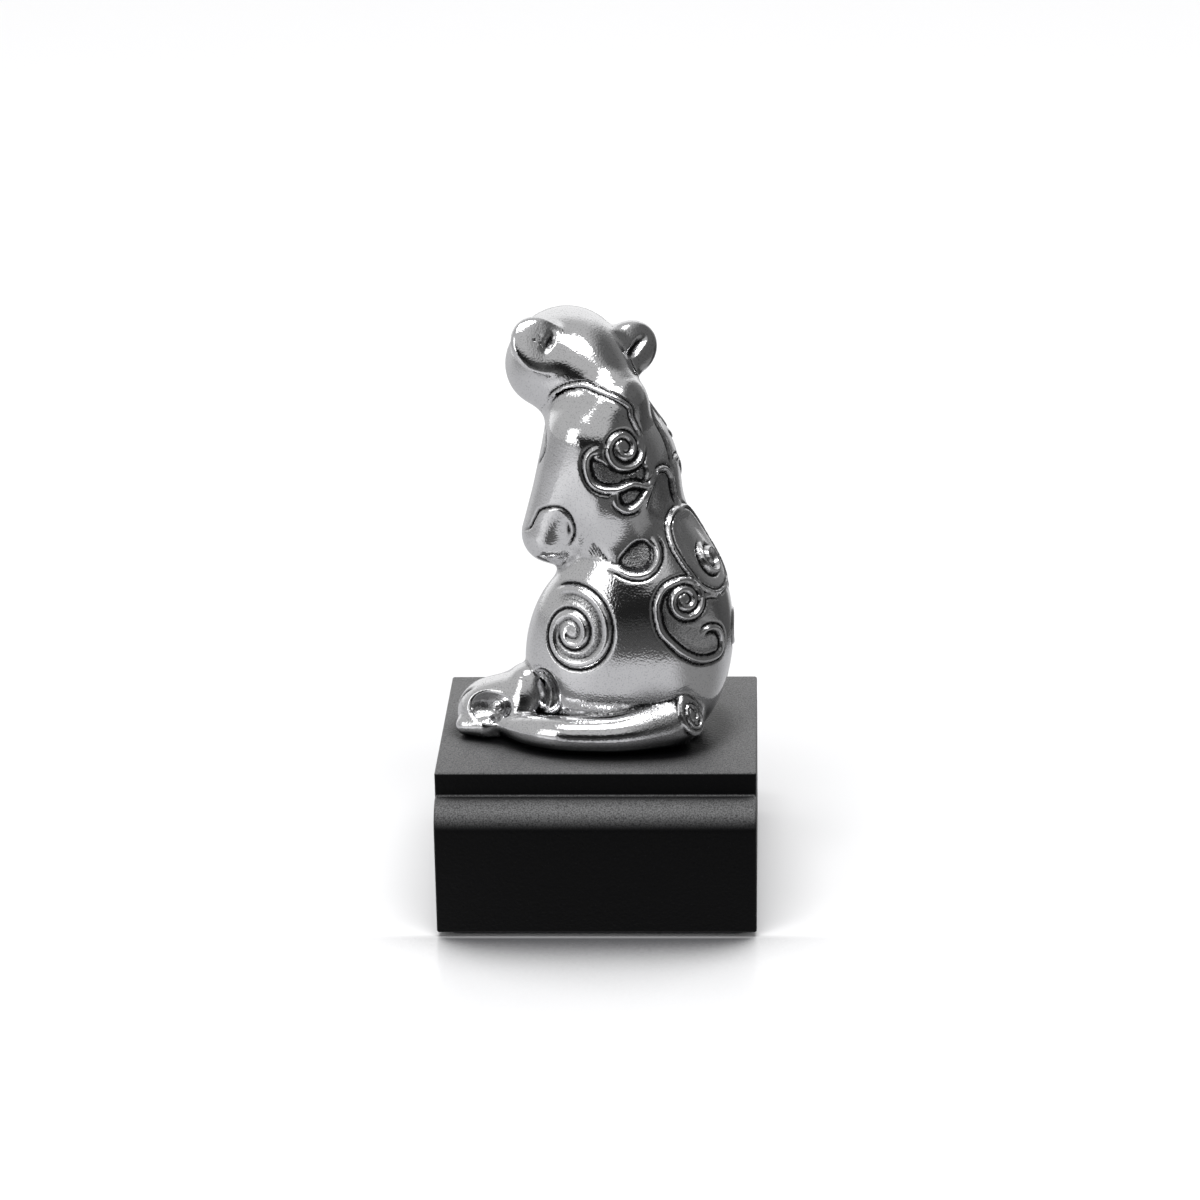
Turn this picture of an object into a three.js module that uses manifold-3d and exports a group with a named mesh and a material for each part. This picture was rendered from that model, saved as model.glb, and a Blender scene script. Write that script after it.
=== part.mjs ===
// A seated rat figurine: pewter castings, soldered together, on a moulded wooden block.
// The body is screwed to the block from below, and a pad covers the screw holes.
// Millimetres, +Z up, origin under the middle of the pad. The rat's tail lies on the side of -Y.

import * as THREE from 'three';
import { mergeVertices } from 'three/addons/utils/BufferGeometryUtils.js';
import Module from 'manifold-3d';

const wasm = await Module();
wasm.setup();

// Wooden block and its pad
const BLOCK_WIDTH = 50;
const BLOCK_DEPTH = 50;
const BLOCK_HEIGHT = 25.2;
const STRIP_HEIGHT = 3.9;
const MOULDING_RADIUS = 4.5;
const ARRIS_RADIUS = 0.8;
const PAD_THICKNESS = 0.8;
const PAD_INSET = 1.5;
const PAD_CORNER_RADIUS = 2;

// Screws and washers under the block
const SCREW_DIAMETER = 3;
const SCREW_ENGAGEMENT = 7;
const SCREW_HEAD_DIAMETER = 5.6;
const SCREW_HEAD_HEIGHT = 2;
const CROSS_SPAN = 3;
const CROSS_WIDTH = 0.8;
const CROSS_DEPTH = 1.1;
const WASHER_DIAMETER = 7;
const WASHER_THICKNESS = 0.6;
const COUNTERBORE_DEPTH = 9;
const FRONT_SCREW_REACH = 4.5;
const REAR_SCREW_REACH = -7.5;

// Gaps between pieces
const FIT_CLEARANCE = 0.3;
const SOLDER_GAP = 0.3;

// Where the rat sits on the block, and the angle that it is turned by
const SEAT_X = 4.2;
const SEAT_Y = 1;
const SEAT_TURN = 160;

// Body casting, with x forward, y left and z up from the top of the block
const RUMP_LENGTH = 27;
const RUMP_WIDTH = 24.6;
const RUMP_HEIGHT = 41;
const RUMP_SETBACK = 4.1;
const RUMP_RISE = 16.5;
const CHEST_LENGTH = 19.6;
const CHEST_WIDTH = 18.8;
const CHEST_HEIGHT = 36;
const CHEST_REACH = 0.6;
const CHEST_RISE = 36;
const CHEST_LEAN = 11;
const NECK_ROOT_RADIUS = 8.2;
const NECK_ROOT_REACH = 3;
const NECK_ROOT_RISE = 46;
const NECK_RADIUS = 6.4;
const NECK_REACH = 6.4;
const NECK_RISE = 57;
const NECK_SEAT_DROP = 2;
const HAUNCH_LENGTH = 20.8;
const HAUNCH_WIDTH = 12.8;
const HAUNCH_HEIGHT = 32;
const HAUNCH_REACH = 3.4;
const HAUNCH_SPREAD = 6.8;
const HAUNCH_RISE = 13.5;
const HAUNCH_LEAN = -8;
const SHOULDER_RADIUS = 5.4;
const SHOULDER_REACH = 4.2;
const SHOULDER_SPREAD = 5;
const SHOULDER_RISE = 49.5;
const ELBOW_RADIUS = 4.7;
const ELBOW_REACH = 9.2;
const ELBOW_SPREAD = 6.7;
const ELBOW_RISE = 33.2;
const RUMP_FILLET = 4.5;
const NECK_FILLET = 6;
const LIMB_FILLET = 3.2;

// Forelegs
const FOREARM_RADIUS = 4.2;
const WRIST_RADIUS = 2.4;
const WRIST_REACH = 12.2;
const PAW_LENGTH = 4.6;
const PAW_WIDTH = 4.2;
const PAW_HEIGHT = 6.4;
const PAW_LIFT = 2;
const PAW_GAP = 0.8;
const PAW_FILLET = 1.2;

// Hind feet
const ANKLE_RADIUS = 4.6;
const ANKLE_REACH = 13.4;
const ANKLE_RISE = 6;
const ANKLE_BAND_RADIUS = 1.6;
const ANKLE_BAND_SETBACK = 1.1;
const ANKLE_BAND_SPREAD = 3.8;
const ANKLE_BAND_TOP_SPREAD = 1.5;
const ANKLE_BAND_FOOT_RISE = 4.2;
const ANKLE_BAND_TOP_RISE = 9.4;
const FEET_GAP = 7.6;
const INSTEP_RADIUS = 4.2;
const INSTEP_LENGTH = 5;
const INSTEP_RISE = 4;
const FOOT_SPLAY = 1.2;
const FOOT_PAD_LENGTH = 10.8;
const FOOT_PAD_WIDTH = 9.4;
const FOOT_PAD_HEIGHT = 10;
const FOOT_PAD_REACH = 0.5;
const FOOT_PAD_SPREAD = 1;
const FOOT_PAD_RISE = 3;
const FOOT_FILLET = 2;
const RIGHT_FOOT_SETBACK = 4.6;
const RIGHT_FOOT_INSET = 2.2;
const TOE_COUNT = 3;
const TOE_RADIUS = 2;
const TOE_TIP_RADIUS = 1.7;
const TOE_LENGTH = 4.2;
const TOE_ROOT_SETBACK = 0.5;
const TOE_PITCH = 3.1;
const TOE_TIP_PITCH = 3;
const OUTER_TOE_SETBACK = 0.9;

// Head casting, with its own x along the nose
const HEAD_TURN = -42;
const HEAD_ROLL = 11;
const HEAD_PITCH = -6;
const HEAD_REACH = 1.3;
const HEAD_LIFT = 2.7;
const SKULL_LENGTH = 14.8;
const SKULL_WIDTH = 15.6;
const SKULL_HEIGHT = 14.4;
const SKULL_REACH = 1.8;
const SKULL_DROP = 0.5;
const CHEEK_LENGTH = 13;
const CHEEK_WIDTH = 9.6;
const CHEEK_HEIGHT = 10.4;
const CHEEK_REACH = 4.2;
const CHEEK_SPREAD = 3.6;
const CHEEK_DROP = 3.6;
const CHEEK_FILLET = 4;
const MUZZLE_RADIUS = 5.4;
const MUZZLE_REACH = 6;
const MUZZLE_DROP = 1.5;
const NOSE_RADIUS = 2.3;
const NOSE_REACH = 15.5;
const NOSE_DROP = 3.2;
const MUZZLE_FILLET = 5;
const EYE_RADIUS = 1.4;
const EYE_REACH = 9.6;
const EYE_LIFT = 1.3;
const PEG_RADIUS = 2.2;
const PEG_LENGTH = 7;

// Nape, a ridge from the middle of the skull to the left shoulder
const NAPE_RADIUS = 6.3;
const NAPE_REACH = 1.6;
const NAPE_SPREAD = -0.7;
const NAPE_ROOT_RADIUS = 4.6;
const NAPE_ROOT_SETBACK = 6.7;
const NAPE_ROOT_SPREAD = 2.4;
const NAPE_ROOT_DROP = 2.8;
const NAPE_FILLET = 3.5;

// Ears
const EAR_THICKNESS = 3.8;
const EAR_BREADTH = 8.4;
const EAR_HEIGHT = 9.6;
const EAR_SINK = 0.1;
const EAR_RIM = 1;
const EAR_CUP_OFFSET = 1.7;
const EAR_SPLAY = 45;
const LEFT_EAR_SETBACK = 1.8;
const LEFT_EAR_LIFT = 2.3;
const LEFT_EAR_TURN = -14;
const LEFT_EAR_NOD = -27;
const RIGHT_EAR_SETBACK = 2.2;
const RIGHT_EAR_LIFT = 2.7;
const RIGHT_EAR_TURN = 3;
const RIGHT_EAR_NOD = -22;

// Tail, round the body from behind to the left foot, by degrees from straight ahead
const TAIL_ROOT_ANGLE = 165;
const TAIL_FREE_ANGLE = 105;
const TAIL_TIP_ANGLE = 39;
const TAIL_ROOT_RADIUS = 4.8;
const TAIL_TIP_RADIUS = 2.2;
const TAIL_ROOT_SINK = 3.3;
const TAIL_TIP_STAND_OFF = 5.2;
const TAIL_FLAT = 0.5;

// Fineness of the facets
const BODY_RINGS = 38;
const BODY_SPOKES = 30;
const HEAD_RINGS = 26;
const HEAD_SPOKES = 22;
const LIMB_RINGS = 14;
const LIMB_SPOKES = 14;
const TOE_RINGS = 8;
const TOE_SPOKES = 8;
const TAIL_RINGS = 34;
const TAIL_SPOKES = 12;
const TAIL_STATIONS = 10;
const ROUND_SEGMENTS = 24;
const ARC_SEGMENTS = 8;
const MARCH_STEP = 0.8;
const MARCH_HALVINGS = 16;

const BLOCK_TOP = PAD_THICKNESS + BLOCK_HEIGHT;
const AHEAD = new THREE.Vector3(1, 0, 0);
const LEFTWARD = new THREE.Vector3(0, 1, 0);
const UPWARD = new THREE.Vector3(0, 0, 1);
const SIDES = { left: 1, right: -1 };

const point = (x, y, z) => new THREE.Vector3(x, y, z);
const radians = THREE.MathUtils.degToRad;

// Materials

const pewter = () => new THREE.MeshStandardMaterial({ color: 0xa9abad, roughness: 0.28, metalness: 1 });
const lacquer = () => new THREE.MeshStandardMaterial({ color: 0x0c0c0d, roughness: 0.45, metalness: 0 });
const steel = () => new THREE.MeshStandardMaterial({ color: 0x8f9295, roughness: 0.4, metalness: 1 });
const felt = () => new THREE.MeshStandardMaterial({ color: 0x1b1b1d, roughness: 0.95, metalness: 0 });

// Solids from closed geometries, and meshes from solids

function solidOf(geometry) {
  const bare = geometry.clone();
  bare.deleteAttribute('normal');
  bare.deleteAttribute('uv');
  const merged = mergeVertices(bare);
  const vertProperties = new Float32Array(merged.attributes.position.array);
  const triVerts = new Uint32Array(merged.index.array);
  return new wasm.Manifold(new wasm.Mesh({ numProp: 3, vertProperties, triVerts }));
}

function meshOf(name, solid, material) {
  const { vertProperties, triVerts } = solid.getMesh();
  const geometry = new THREE.BufferGeometry();
  geometry.setAttribute('position', new THREE.BufferAttribute(vertProperties, 3));
  geometry.setIndex(new THREE.BufferAttribute(triVerts, 1));
  geometry.computeVertexNormals();
  const mesh = new THREE.Mesh(geometry, material);
  mesh.name = name;
  return mesh;
}

// A round bar between two points.
function bar(from, to, radius) {
  const length = from.distanceTo(to);
  const geometry = new THREE.CylinderGeometry(radius, radius, length, ROUND_SEGMENTS);
  const axis = to.clone().sub(from).normalize();
  const turn = new THREE.Quaternion().setFromUnitVectors(LEFTWARD, axis);
  geometry.applyQuaternion(turn);
  geometry.translate(...from.clone().add(to).multiplyScalar(0.5).toArray());
  return solidOf(geometry);
}

// A plain box by its lowest and highest corners.
function slab(low, high) {
  const size = high.clone().sub(low);
  const geometry = new THREE.BoxGeometry(...size.toArray());
  geometry.translate(...low.clone().add(high).multiplyScalar(0.5).toArray());
  return solidOf(geometry);
}

// Masses: each is a function that gives a point's distance from the surface, below zero inside

// Smaller of two distances, with a fillet where the masses meet.
function blend(a, b, fillet) {
  const share = Math.max(fillet - Math.abs(a - b), 0) / fillet;
  return Math.min(a, b) - share * share * fillet / 4;
}

// An egg-shaped mass, whose top leans forward by an angle.
function egg(centre, length, width, height, lean = 0) {
  const turn = new THREE.Quaternion().setFromAxisAngle(LEFTWARD, radians(-lean));
  const radii = point(length / 2, width / 2, height / 2);
  const scaled = new THREE.Vector3();
  return (p) => {
    scaled.copy(p).sub(centre).applyQuaternion(turn).divide(radii);
    const depth = scaled.length();
    const slope = scaled.divide(radii).length();
    return slope > 0 ? depth * (depth - 1) / slope : -Math.min(radii.x, radii.y, radii.z);
  };
}

// A tapered round limb between two points.
function limb(from, to, fromRadius, toRadius) {
  const axis = to.clone().sub(from);
  const along = new THREE.Vector3();
  return (p) => {
    const t = THREE.MathUtils.clamp(along.copy(p).sub(from).dot(axis) / axis.lengthSq(), 0, 1);
    along.copy(axis).multiplyScalar(t).add(from);
    return along.distanceTo(p) - THREE.MathUtils.lerp(fromRadius, toRadius, t);
  };
}

// How far a mass's surface is from a point inside it, in one direction.
function reachOf(mass, origin, direction) {
  const probe = new THREE.Vector3();
  const depthAt = (distance) => mass(probe.copy(direction).multiplyScalar(distance).add(origin));
  let inside = 0;
  let outside = MARCH_STEP;
  while (depthAt(outside) < 0) {
    inside = outside;
    outside += MARCH_STEP;
  }
  for (let i = 0; i < MARCH_HALVINGS; i += 1) {
    const middle = (inside + outside) / 2;
    if (depthAt(middle) < 0) inside = middle;
    else outside = middle;
  }
  return (inside + outside) / 2;
}

// A closed skin round a spine: a sphere whose points slide along the spine, and out to a reach that a
// function gives for their place on the spine and their direction.
function skin(spine, reference, rings, spokes, reach) {
  const sphere = new THREE.SphereGeometry(1, spokes, rings);
  sphere.deleteAttribute('normal');
  sphere.deleteAttribute('uv');
  const geometry = mergeVertices(sphere);
  const positions = geometry.attributes.position;
  const onSphere = new THREE.Vector3();
  const side = new THREE.Vector3();
  const cross = new THREE.Vector3();
  for (let i = 0; i < positions.count; i += 1) {
    onSphere.fromBufferAttribute(positions, i).normalize();
    const t = THREE.MathUtils.clamp((1 + onSphere.y) / 2, 0, 1);
    const place = spine.getPointAt(t);
    const tangent = spine.getTangentAt(t);
    side.copy(reference).addScaledVector(tangent, -reference.dot(tangent)).normalize();
    cross.crossVectors(side, tangent);
    const direction = side.clone().multiplyScalar(onSphere.x);
    direction.addScaledVector(tangent, onSphere.y).addScaledVector(cross, onSphere.z).normalize();
    place.addScaledVector(direction, reach(place, direction, t));
    positions.setXYZ(i, place.x, place.y, place.z);
  }
  return geometry;
}

const massSkin = (mass, spine, reference, rings, spokes, growth = 0) => {
  const grown = (p) => mass(p) - growth;
  return skin(spine, reference, rings, spokes, (place, direction) => reachOf(grown, place, direction));
};

// Body casting

const rump = egg(point(-RUMP_SETBACK, 0, RUMP_RISE), RUMP_LENGTH, RUMP_WIDTH, RUMP_HEIGHT);
const chest = egg(point(CHEST_REACH, 0, CHEST_RISE), CHEST_LENGTH, CHEST_WIDTH, CHEST_HEIGHT, CHEST_LEAN);
const neckRoot = point(NECK_ROOT_REACH, 0, NECK_ROOT_RISE);
const neckTop = point(NECK_REACH, 0, NECK_RISE);
const neck = limb(neckRoot, neckTop, NECK_ROOT_RADIUS, NECK_RADIUS);
const neckAxis = neckTop.clone().sub(neckRoot).normalize();
const headSeat = neckTop.clone().addScaledVector(neckAxis, -NECK_SEAT_DROP);
const elbowOf = (side) => point(ELBOW_REACH, ELBOW_SPREAD * side, ELBOW_RISE);

// The head's own place, and the nape, which both the head and the body take in.
const headCentre = neckTop.clone().add(point(HEAD_REACH, 0, HEAD_LIFT));
const headEuler = new THREE.Euler(radians(HEAD_ROLL), radians(HEAD_PITCH), radians(HEAD_TURN), 'ZXY');
const headTurn = new THREE.Quaternion().setFromEuler(headEuler);
const headPlace = new THREE.Matrix4().compose(headCentre, headTurn, point(1, 1, 1));
const napeTop = point(NAPE_REACH, NAPE_SPREAD, -SKULL_DROP).applyMatrix4(headPlace);
const napeRoot = neckTop.clone().add(point(-NAPE_ROOT_SETBACK, NAPE_ROOT_SPREAD, -NAPE_ROOT_DROP));
const nape = limb(napeRoot, napeTop, NAPE_ROOT_RADIUS, NAPE_RADIUS);

const limbMasses = [];
for (const side of Object.values(SIDES)) {
  const hip = point(HAUNCH_REACH, HAUNCH_SPREAD * side, HAUNCH_RISE);
  limbMasses.push(egg(hip, HAUNCH_LENGTH, HAUNCH_WIDTH, HAUNCH_HEIGHT, HAUNCH_LEAN));
  const shoulder = point(SHOULDER_REACH, SHOULDER_SPREAD * side, SHOULDER_RISE);
  limbMasses.push(limb(shoulder, elbowOf(side), SHOULDER_RADIUS, ELBOW_RADIUS));
}

function body(p) {
  let distance = blend(rump(p), chest(p), RUMP_FILLET);
  distance = blend(distance, neck(p), NECK_FILLET);
  for (const mass of limbMasses) distance = blend(distance, mass(p), LIMB_FILLET);
  distance = blend(distance, nape(p), NAPE_FILLET);
  const aboveSeat = neckAxis.dot(p) - neckAxis.dot(headSeat);
  return Math.max(distance, aboveSeat);
}

const bodySpine = new THREE.CatmullRomCurve3([
  point(-RUMP_SETBACK / 2, 0, RUMP_RISE / 4),
  point(-RUMP_SETBACK / 2, 0, RUMP_RISE),
  point(CHEST_REACH, 0, CHEST_RISE),
  neckRoot.clone().lerp(headSeat, 0.5),
]);
const bodySkin = (growth) => solidOf(massSkin(body, bodySpine, AHEAD, BODY_RINGS, BODY_SPOKES, growth));
const bodyGrown = bodySkin(SOLDER_GAP);

// Everything below the top of the block, which is what the rat's underside is cut flat by.
const FAR = BLOCK_WIDTH + BLOCK_DEPTH;
const ground = slab(point(-FAR, -FAR, -FAR), point(FAR, FAR, 0));

// The head's peg goes down the neck into a socket with the fit clearance all round.
const pegEnd = headSeat.clone().addScaledVector(neckAxis, -PEG_LENGTH);
const socketEnd = pegEnd.clone().addScaledVector(neckAxis, -FIT_CLEARANCE);
const socketMouth = headSeat.clone().addScaledVector(neckAxis, FIT_CLEARANCE);
const socket = bar(socketEnd, socketMouth, PEG_RADIUS + FIT_CLEARANCE);

const screwSpots = { front: point(FRONT_SCREW_REACH, 0, 0), rear: point(REAR_SCREW_REACH, 0, 0) };
const threadRadius = SCREW_DIAMETER / 2 + FIT_CLEARANCE;
let bodyCasting = bodySkin(0).subtract(ground).subtract(socket);
for (const spot of Object.values(screwSpots)) {
  const top = spot.clone().setZ(SCREW_ENGAGEMENT + FIT_CLEARANCE);
  bodyCasting = bodyCasting.subtract(bar(spot.clone().setZ(-FIT_CLEARANCE), top, threadRadius));
}

// Head casting, with two eyes and a peg

const skullCentre = point(SKULL_REACH, 0, -SKULL_DROP);
const skull = egg(skullCentre, SKULL_LENGTH, SKULL_WIDTH, SKULL_HEIGHT);
const nose = point(NOSE_REACH, 0, -NOSE_DROP);
const muzzle = limb(point(MUZZLE_REACH, 0, -MUZZLE_DROP), nose, MUZZLE_RADIUS, NOSE_RADIUS);
const cheeks = Object.values(SIDES).map((side) => {
  const centre = point(CHEEK_REACH, CHEEK_SPREAD * side, -CHEEK_DROP);
  return egg(centre, CHEEK_LENGTH, CHEEK_WIDTH, CHEEK_HEIGHT);
});

function head(p) {
  let distance = blend(skull(p), nape(p.clone().applyMatrix4(headPlace)), NAPE_FILLET);
  for (const cheek of cheeks) distance = blend(distance, cheek(p), CHEEK_FILLET);
  return blend(distance, muzzle(p), MUZZLE_FILLET);
}

const headSpine = new THREE.LineCurve3(skullCentre.clone().add(point(-SKULL_LENGTH / 4, 0, 0)), nose);
function headSkin(growth) {
  const geometry = massSkin(head, headSpine, UPWARD, HEAD_RINGS, HEAD_SPOKES, growth);
  return solidOf(geometry.applyMatrix4(headPlace));
}
const headGrown = headSkin(SOLDER_GAP);

let headCasting = headSkin(0).subtract(bodyGrown).add(bar(pegEnd, headCentre, PEG_RADIUS));
for (const side of Object.values(SIDES)) {
  const inner = point(EYE_REACH, 0, EYE_LIFT);
  const outward = point(0, side, 0);
  const eye = new THREE.SphereGeometry(EYE_RADIUS, TOE_SPOKES, TOE_RINGS);
  eye.translate(...inner.addScaledVector(outward, reachOf(head, inner, outward)).toArray());
  headCasting = headCasting.add(solidOf(eye.applyMatrix4(headPlace)));
}

// Ears: cupped leaves, cut to the head

function earOf(side) {
  const left = side === SIDES.left;
  const setback = left ? LEFT_EAR_SETBACK : RIGHT_EAR_SETBACK;
  const lift = left ? LEFT_EAR_LIFT : RIGHT_EAR_LIFT;
  const cupAxis = point(1, 0, 0).applyAxisAngle(LEFTWARD, -radians(left ? LEFT_EAR_NOD : RIGHT_EAR_NOD));
  cupAxis.applyAxisAngle(UPWARD, radians(left ? LEFT_EAR_TURN : RIGHT_EAR_TURN) * side);
  const tipAxis = point(0, 0, 1).applyAxisAngle(AHEAD, radians(-EAR_SPLAY) * side);
  tipAxis.addScaledVector(cupAxis, -tipAxis.dot(cupAxis)).normalize();
  const edgeAxis = tipAxis.clone().cross(cupAxis);
  const centre = point(-setback, (SKULL_WIDTH / 2 - EAR_SINK) * side, lift);
  const place = new THREE.Matrix4().makeBasis(cupAxis, edgeAxis, tipAxis).setPosition(centre);
  place.premultiply(headPlace);
  const leaf = new THREE.SphereGeometry(0.5, LIMB_SPOKES, LIMB_RINGS);
  leaf.scale(EAR_THICKNESS, EAR_BREADTH, EAR_HEIGHT);
  const cup = new THREE.SphereGeometry(0.5, LIMB_SPOKES, LIMB_RINGS);
  cup.scale(EAR_THICKNESS, EAR_BREADTH - 2 * EAR_RIM, EAR_HEIGHT - 2 * EAR_RIM);
  cup.translate(EAR_CUP_OFFSET, 0, 0);
  const ear = solidOf(leaf.applyMatrix4(place)).subtract(solidOf(cup.applyMatrix4(place)));
  return ear.subtract(headGrown).subtract(bodyGrown);
}

// Forelegs: forearm and paw, in front of the chest

function forelegOf(side) {
  const wrist = point(WRIST_REACH, (WRIST_RADIUS + PAW_GAP / 2) * side, ELBOW_RISE);
  const forearm = limb(elbowOf(side), wrist, FOREARM_RADIUS, WRIST_RADIUS);
  const palm = point(WRIST_REACH, ((PAW_WIDTH + PAW_GAP) / 2) * side, ELBOW_RISE + PAW_LIFT);
  const paw = egg(palm, PAW_LENGTH, PAW_WIDTH, PAW_HEIGHT);
  const foreleg = (p) => blend(forearm(p), paw(p), PAW_FILLET);
  const midline = (p) => PAW_GAP / 2 - p.y * side;
  const clear = (p) => Math.max(foreleg(p), midline(p));
  const spine = new THREE.CatmullRomCurve3([elbowOf(side), wrist, palm]);
  return solidOf(massSkin(clear, spine, AHEAD, LIMB_RINGS, LIMB_SPOKES)).subtract(bodyGrown);
}

// Hind feet: an ankle with a band behind it, an instep, a full pad and toes, flat underneath

function footMassOf(side) {
  const right = side === SIDES.right;
  const setback = right ? RIGHT_FOOT_SETBACK : 0;
  const spread = ANKLE_RADIUS + FEET_GAP / 2 - (right ? RIGHT_FOOT_INSET : 0);
  const place = (x, y, z) => point(ANKLE_REACH - setback + x, (spread + y) * side, z);
  const ankle = place(0, 0, ANKLE_RISE);
  const instep = place(INSTEP_LENGTH, FOOT_SPLAY, INSTEP_RISE);
  const middle = place(INSTEP_LENGTH + FOOT_PAD_REACH, FOOT_SPLAY + FOOT_PAD_SPREAD, FOOT_PAD_RISE);
  const bandFoot = place(-ANKLE_BAND_SETBACK, ANKLE_BAND_SPREAD, ANKLE_BAND_FOOT_RISE);
  const bandTop = place(-ANKLE_BAND_SETBACK, ANKLE_BAND_TOP_SPREAD, ANKLE_BAND_TOP_RISE);
  const leg = limb(ankle, instep, ANKLE_RADIUS, INSTEP_RADIUS);
  const pad = egg(middle, FOOT_PAD_LENGTH, FOOT_PAD_WIDTH, FOOT_PAD_HEIGHT);
  const band = limb(bandFoot, bandTop, ANKLE_BAND_RADIUS, ANKLE_BAND_RADIUS);
  const mass = (p) => blend(blend(leg(p), pad(p), FOOT_FILLET), band(p), FOOT_FILLET);
  return { mass, spine: new THREE.LineCurve3(ankle, middle), middle };
}

function footOf(side, growth = 0) {
  const { mass, spine, middle } = footMassOf(side);
  let foot = solidOf(massSkin(mass, spine, UPWARD, LIMB_RINGS, LIMB_SPOKES, growth));
  for (let i = 0; i < TOE_COUNT; i += 1) {
    const across = i - (TOE_COUNT - 1) / 2;
    const rootReach = middle.x - TOE_ROOT_SETBACK;
    const tipReach = rootReach + TOE_LENGTH - OUTER_TOE_SETBACK * Math.abs(across);
    const root = point(rootReach, middle.y + across * TOE_PITCH * side, TOE_RADIUS);
    const tip = point(tipReach, middle.y + across * TOE_TIP_PITCH * side, TOE_TIP_RADIUS);
    const toe = limb(root, tip, TOE_RADIUS, TOE_TIP_RADIUS);
    const toeSpine = new THREE.LineCurve3(root, tip);
    foot = foot.add(solidOf(massSkin(toe, toeSpine, UPWARD, TOE_RINGS, TOE_SPOKES, growth)));
  }
  return foot.subtract(ground).subtract(bodyGrown);
}

// Tail: a tapering rod that leaves the rump, comes away from the body towards the left foot and ends
// against it, flat underneath

function tailCasting() {
  const radiusAt = (t) => THREE.MathUtils.lerp(TAIL_ROOT_RADIUS, TAIL_TIP_RADIUS, t);
  const stations = [];
  for (let i = 0; i <= TAIL_STATIONS; i += 1) {
    const t = i / TAIL_STATIONS;
    const degrees = THREE.MathUtils.lerp(TAIL_ROOT_ANGLE, TAIL_TIP_ANGLE, t);
    const outward = point(Math.cos(radians(degrees)), Math.sin(radians(degrees)), 0);
    const middle = point(-RUMP_SETBACK / 2, 0, radiusAt(t) - TAIL_FLAT);
    const sunk = THREE.MathUtils.smoothstep(degrees, TAIL_FREE_ANGLE, TAIL_ROOT_ANGLE);
    const standOff = TAIL_TIP_STAND_OFF * t - TAIL_ROOT_SINK * sunk;
    stations.push(middle.addScaledVector(outward, reachOf(body, middle, outward) + standOff));
  }
  const spine = new THREE.CatmullRomCurve3(stations);
  const rod = skin(spine, UPWARD, TAIL_RINGS, TAIL_SPOKES, (place, direction, t) => radiusAt(t));
  return solidOf(rod).subtract(ground).subtract(bodyGrown).subtract(footOf(SIDES.left, SOLDER_GAP));
}

// Wooden block: what the moulded side outline and the plain front outline have in common

function sideOutline() {
  const half = BLOCK_DEPTH / 2;
  const strip = half - MOULDING_RADIUS;
  const ledge = BLOCK_HEIGHT - STRIP_HEIGHT;
  const arris = ARRIS_RADIUS;
  const outline = new THREE.Shape();
  outline.absarc(half - arris, arris, arris, -Math.PI / 2, 0);
  outline.absarc(strip, ledge - MOULDING_RADIUS, MOULDING_RADIUS, 0, Math.PI / 2);
  outline.absarc(strip - arris, BLOCK_HEIGHT - arris, arris, 0, Math.PI / 2);
  outline.absarc(arris - strip, BLOCK_HEIGHT - arris, arris, Math.PI / 2, Math.PI);
  outline.absarc(-strip, ledge - MOULDING_RADIUS, MOULDING_RADIUS, Math.PI / 2, Math.PI);
  outline.absarc(arris - half, arris, arris, Math.PI, 1.5 * Math.PI);
  outline.closePath();
  return outline;
}

function roundedRectangle(width, height, corner) {
  const x = width / 2 - corner;
  const y = height / 2 - corner;
  const outline = new THREE.Shape();
  outline.absarc(x, y, corner, 0, Math.PI / 2);
  outline.absarc(-x, y, corner, Math.PI / 2, Math.PI);
  outline.absarc(-x, -y, corner, Math.PI, 1.5 * Math.PI);
  outline.absarc(x, -y, corner, 1.5 * Math.PI, 2 * Math.PI);
  outline.closePath();
  return outline;
}

const extrude = (outline, depth) => new THREE.ExtrudeGeometry(outline, {
  depth,
  curveSegments: ARC_SEGMENTS,
  bevelEnabled: false,
});

function woodenBlock(holes) {
  const moulded = extrude(sideOutline(), 2 * BLOCK_WIDTH).translate(0, 0, -BLOCK_WIDTH);
  moulded.applyMatrix4(new THREE.Matrix4().makeBasis(LEFTWARD, UPWARD, AHEAD));
  moulded.translate(0, 0, PAD_THICKNESS);
  const front = extrude(roundedRectangle(BLOCK_WIDTH, BLOCK_HEIGHT, ARRIS_RADIUS), 2 * BLOCK_DEPTH);
  front.translate(0, 0, -BLOCK_DEPTH);
  front.rotateX(Math.PI / 2);
  front.translate(0, 0, PAD_THICKNESS + BLOCK_HEIGHT / 2);
  let block = solidOf(moulded).intersect(solidOf(front));
  const seat = PAD_THICKNESS + COUNTERBORE_DEPTH;
  for (const { x, y } of holes) {
    const mouth = point(x, y, PAD_THICKNESS - FIT_CLEARANCE);
    block = block.subtract(bar(mouth, point(x, y, seat), WASHER_DIAMETER / 2 + FIT_CLEARANCE));
    block = block.subtract(bar(mouth, point(x, y, BLOCK_TOP + FIT_CLEARANCE), threadRadius));
  }
  return block;
}

// Fixing screws and washers, from the counterbore's seat at z = 0

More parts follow.
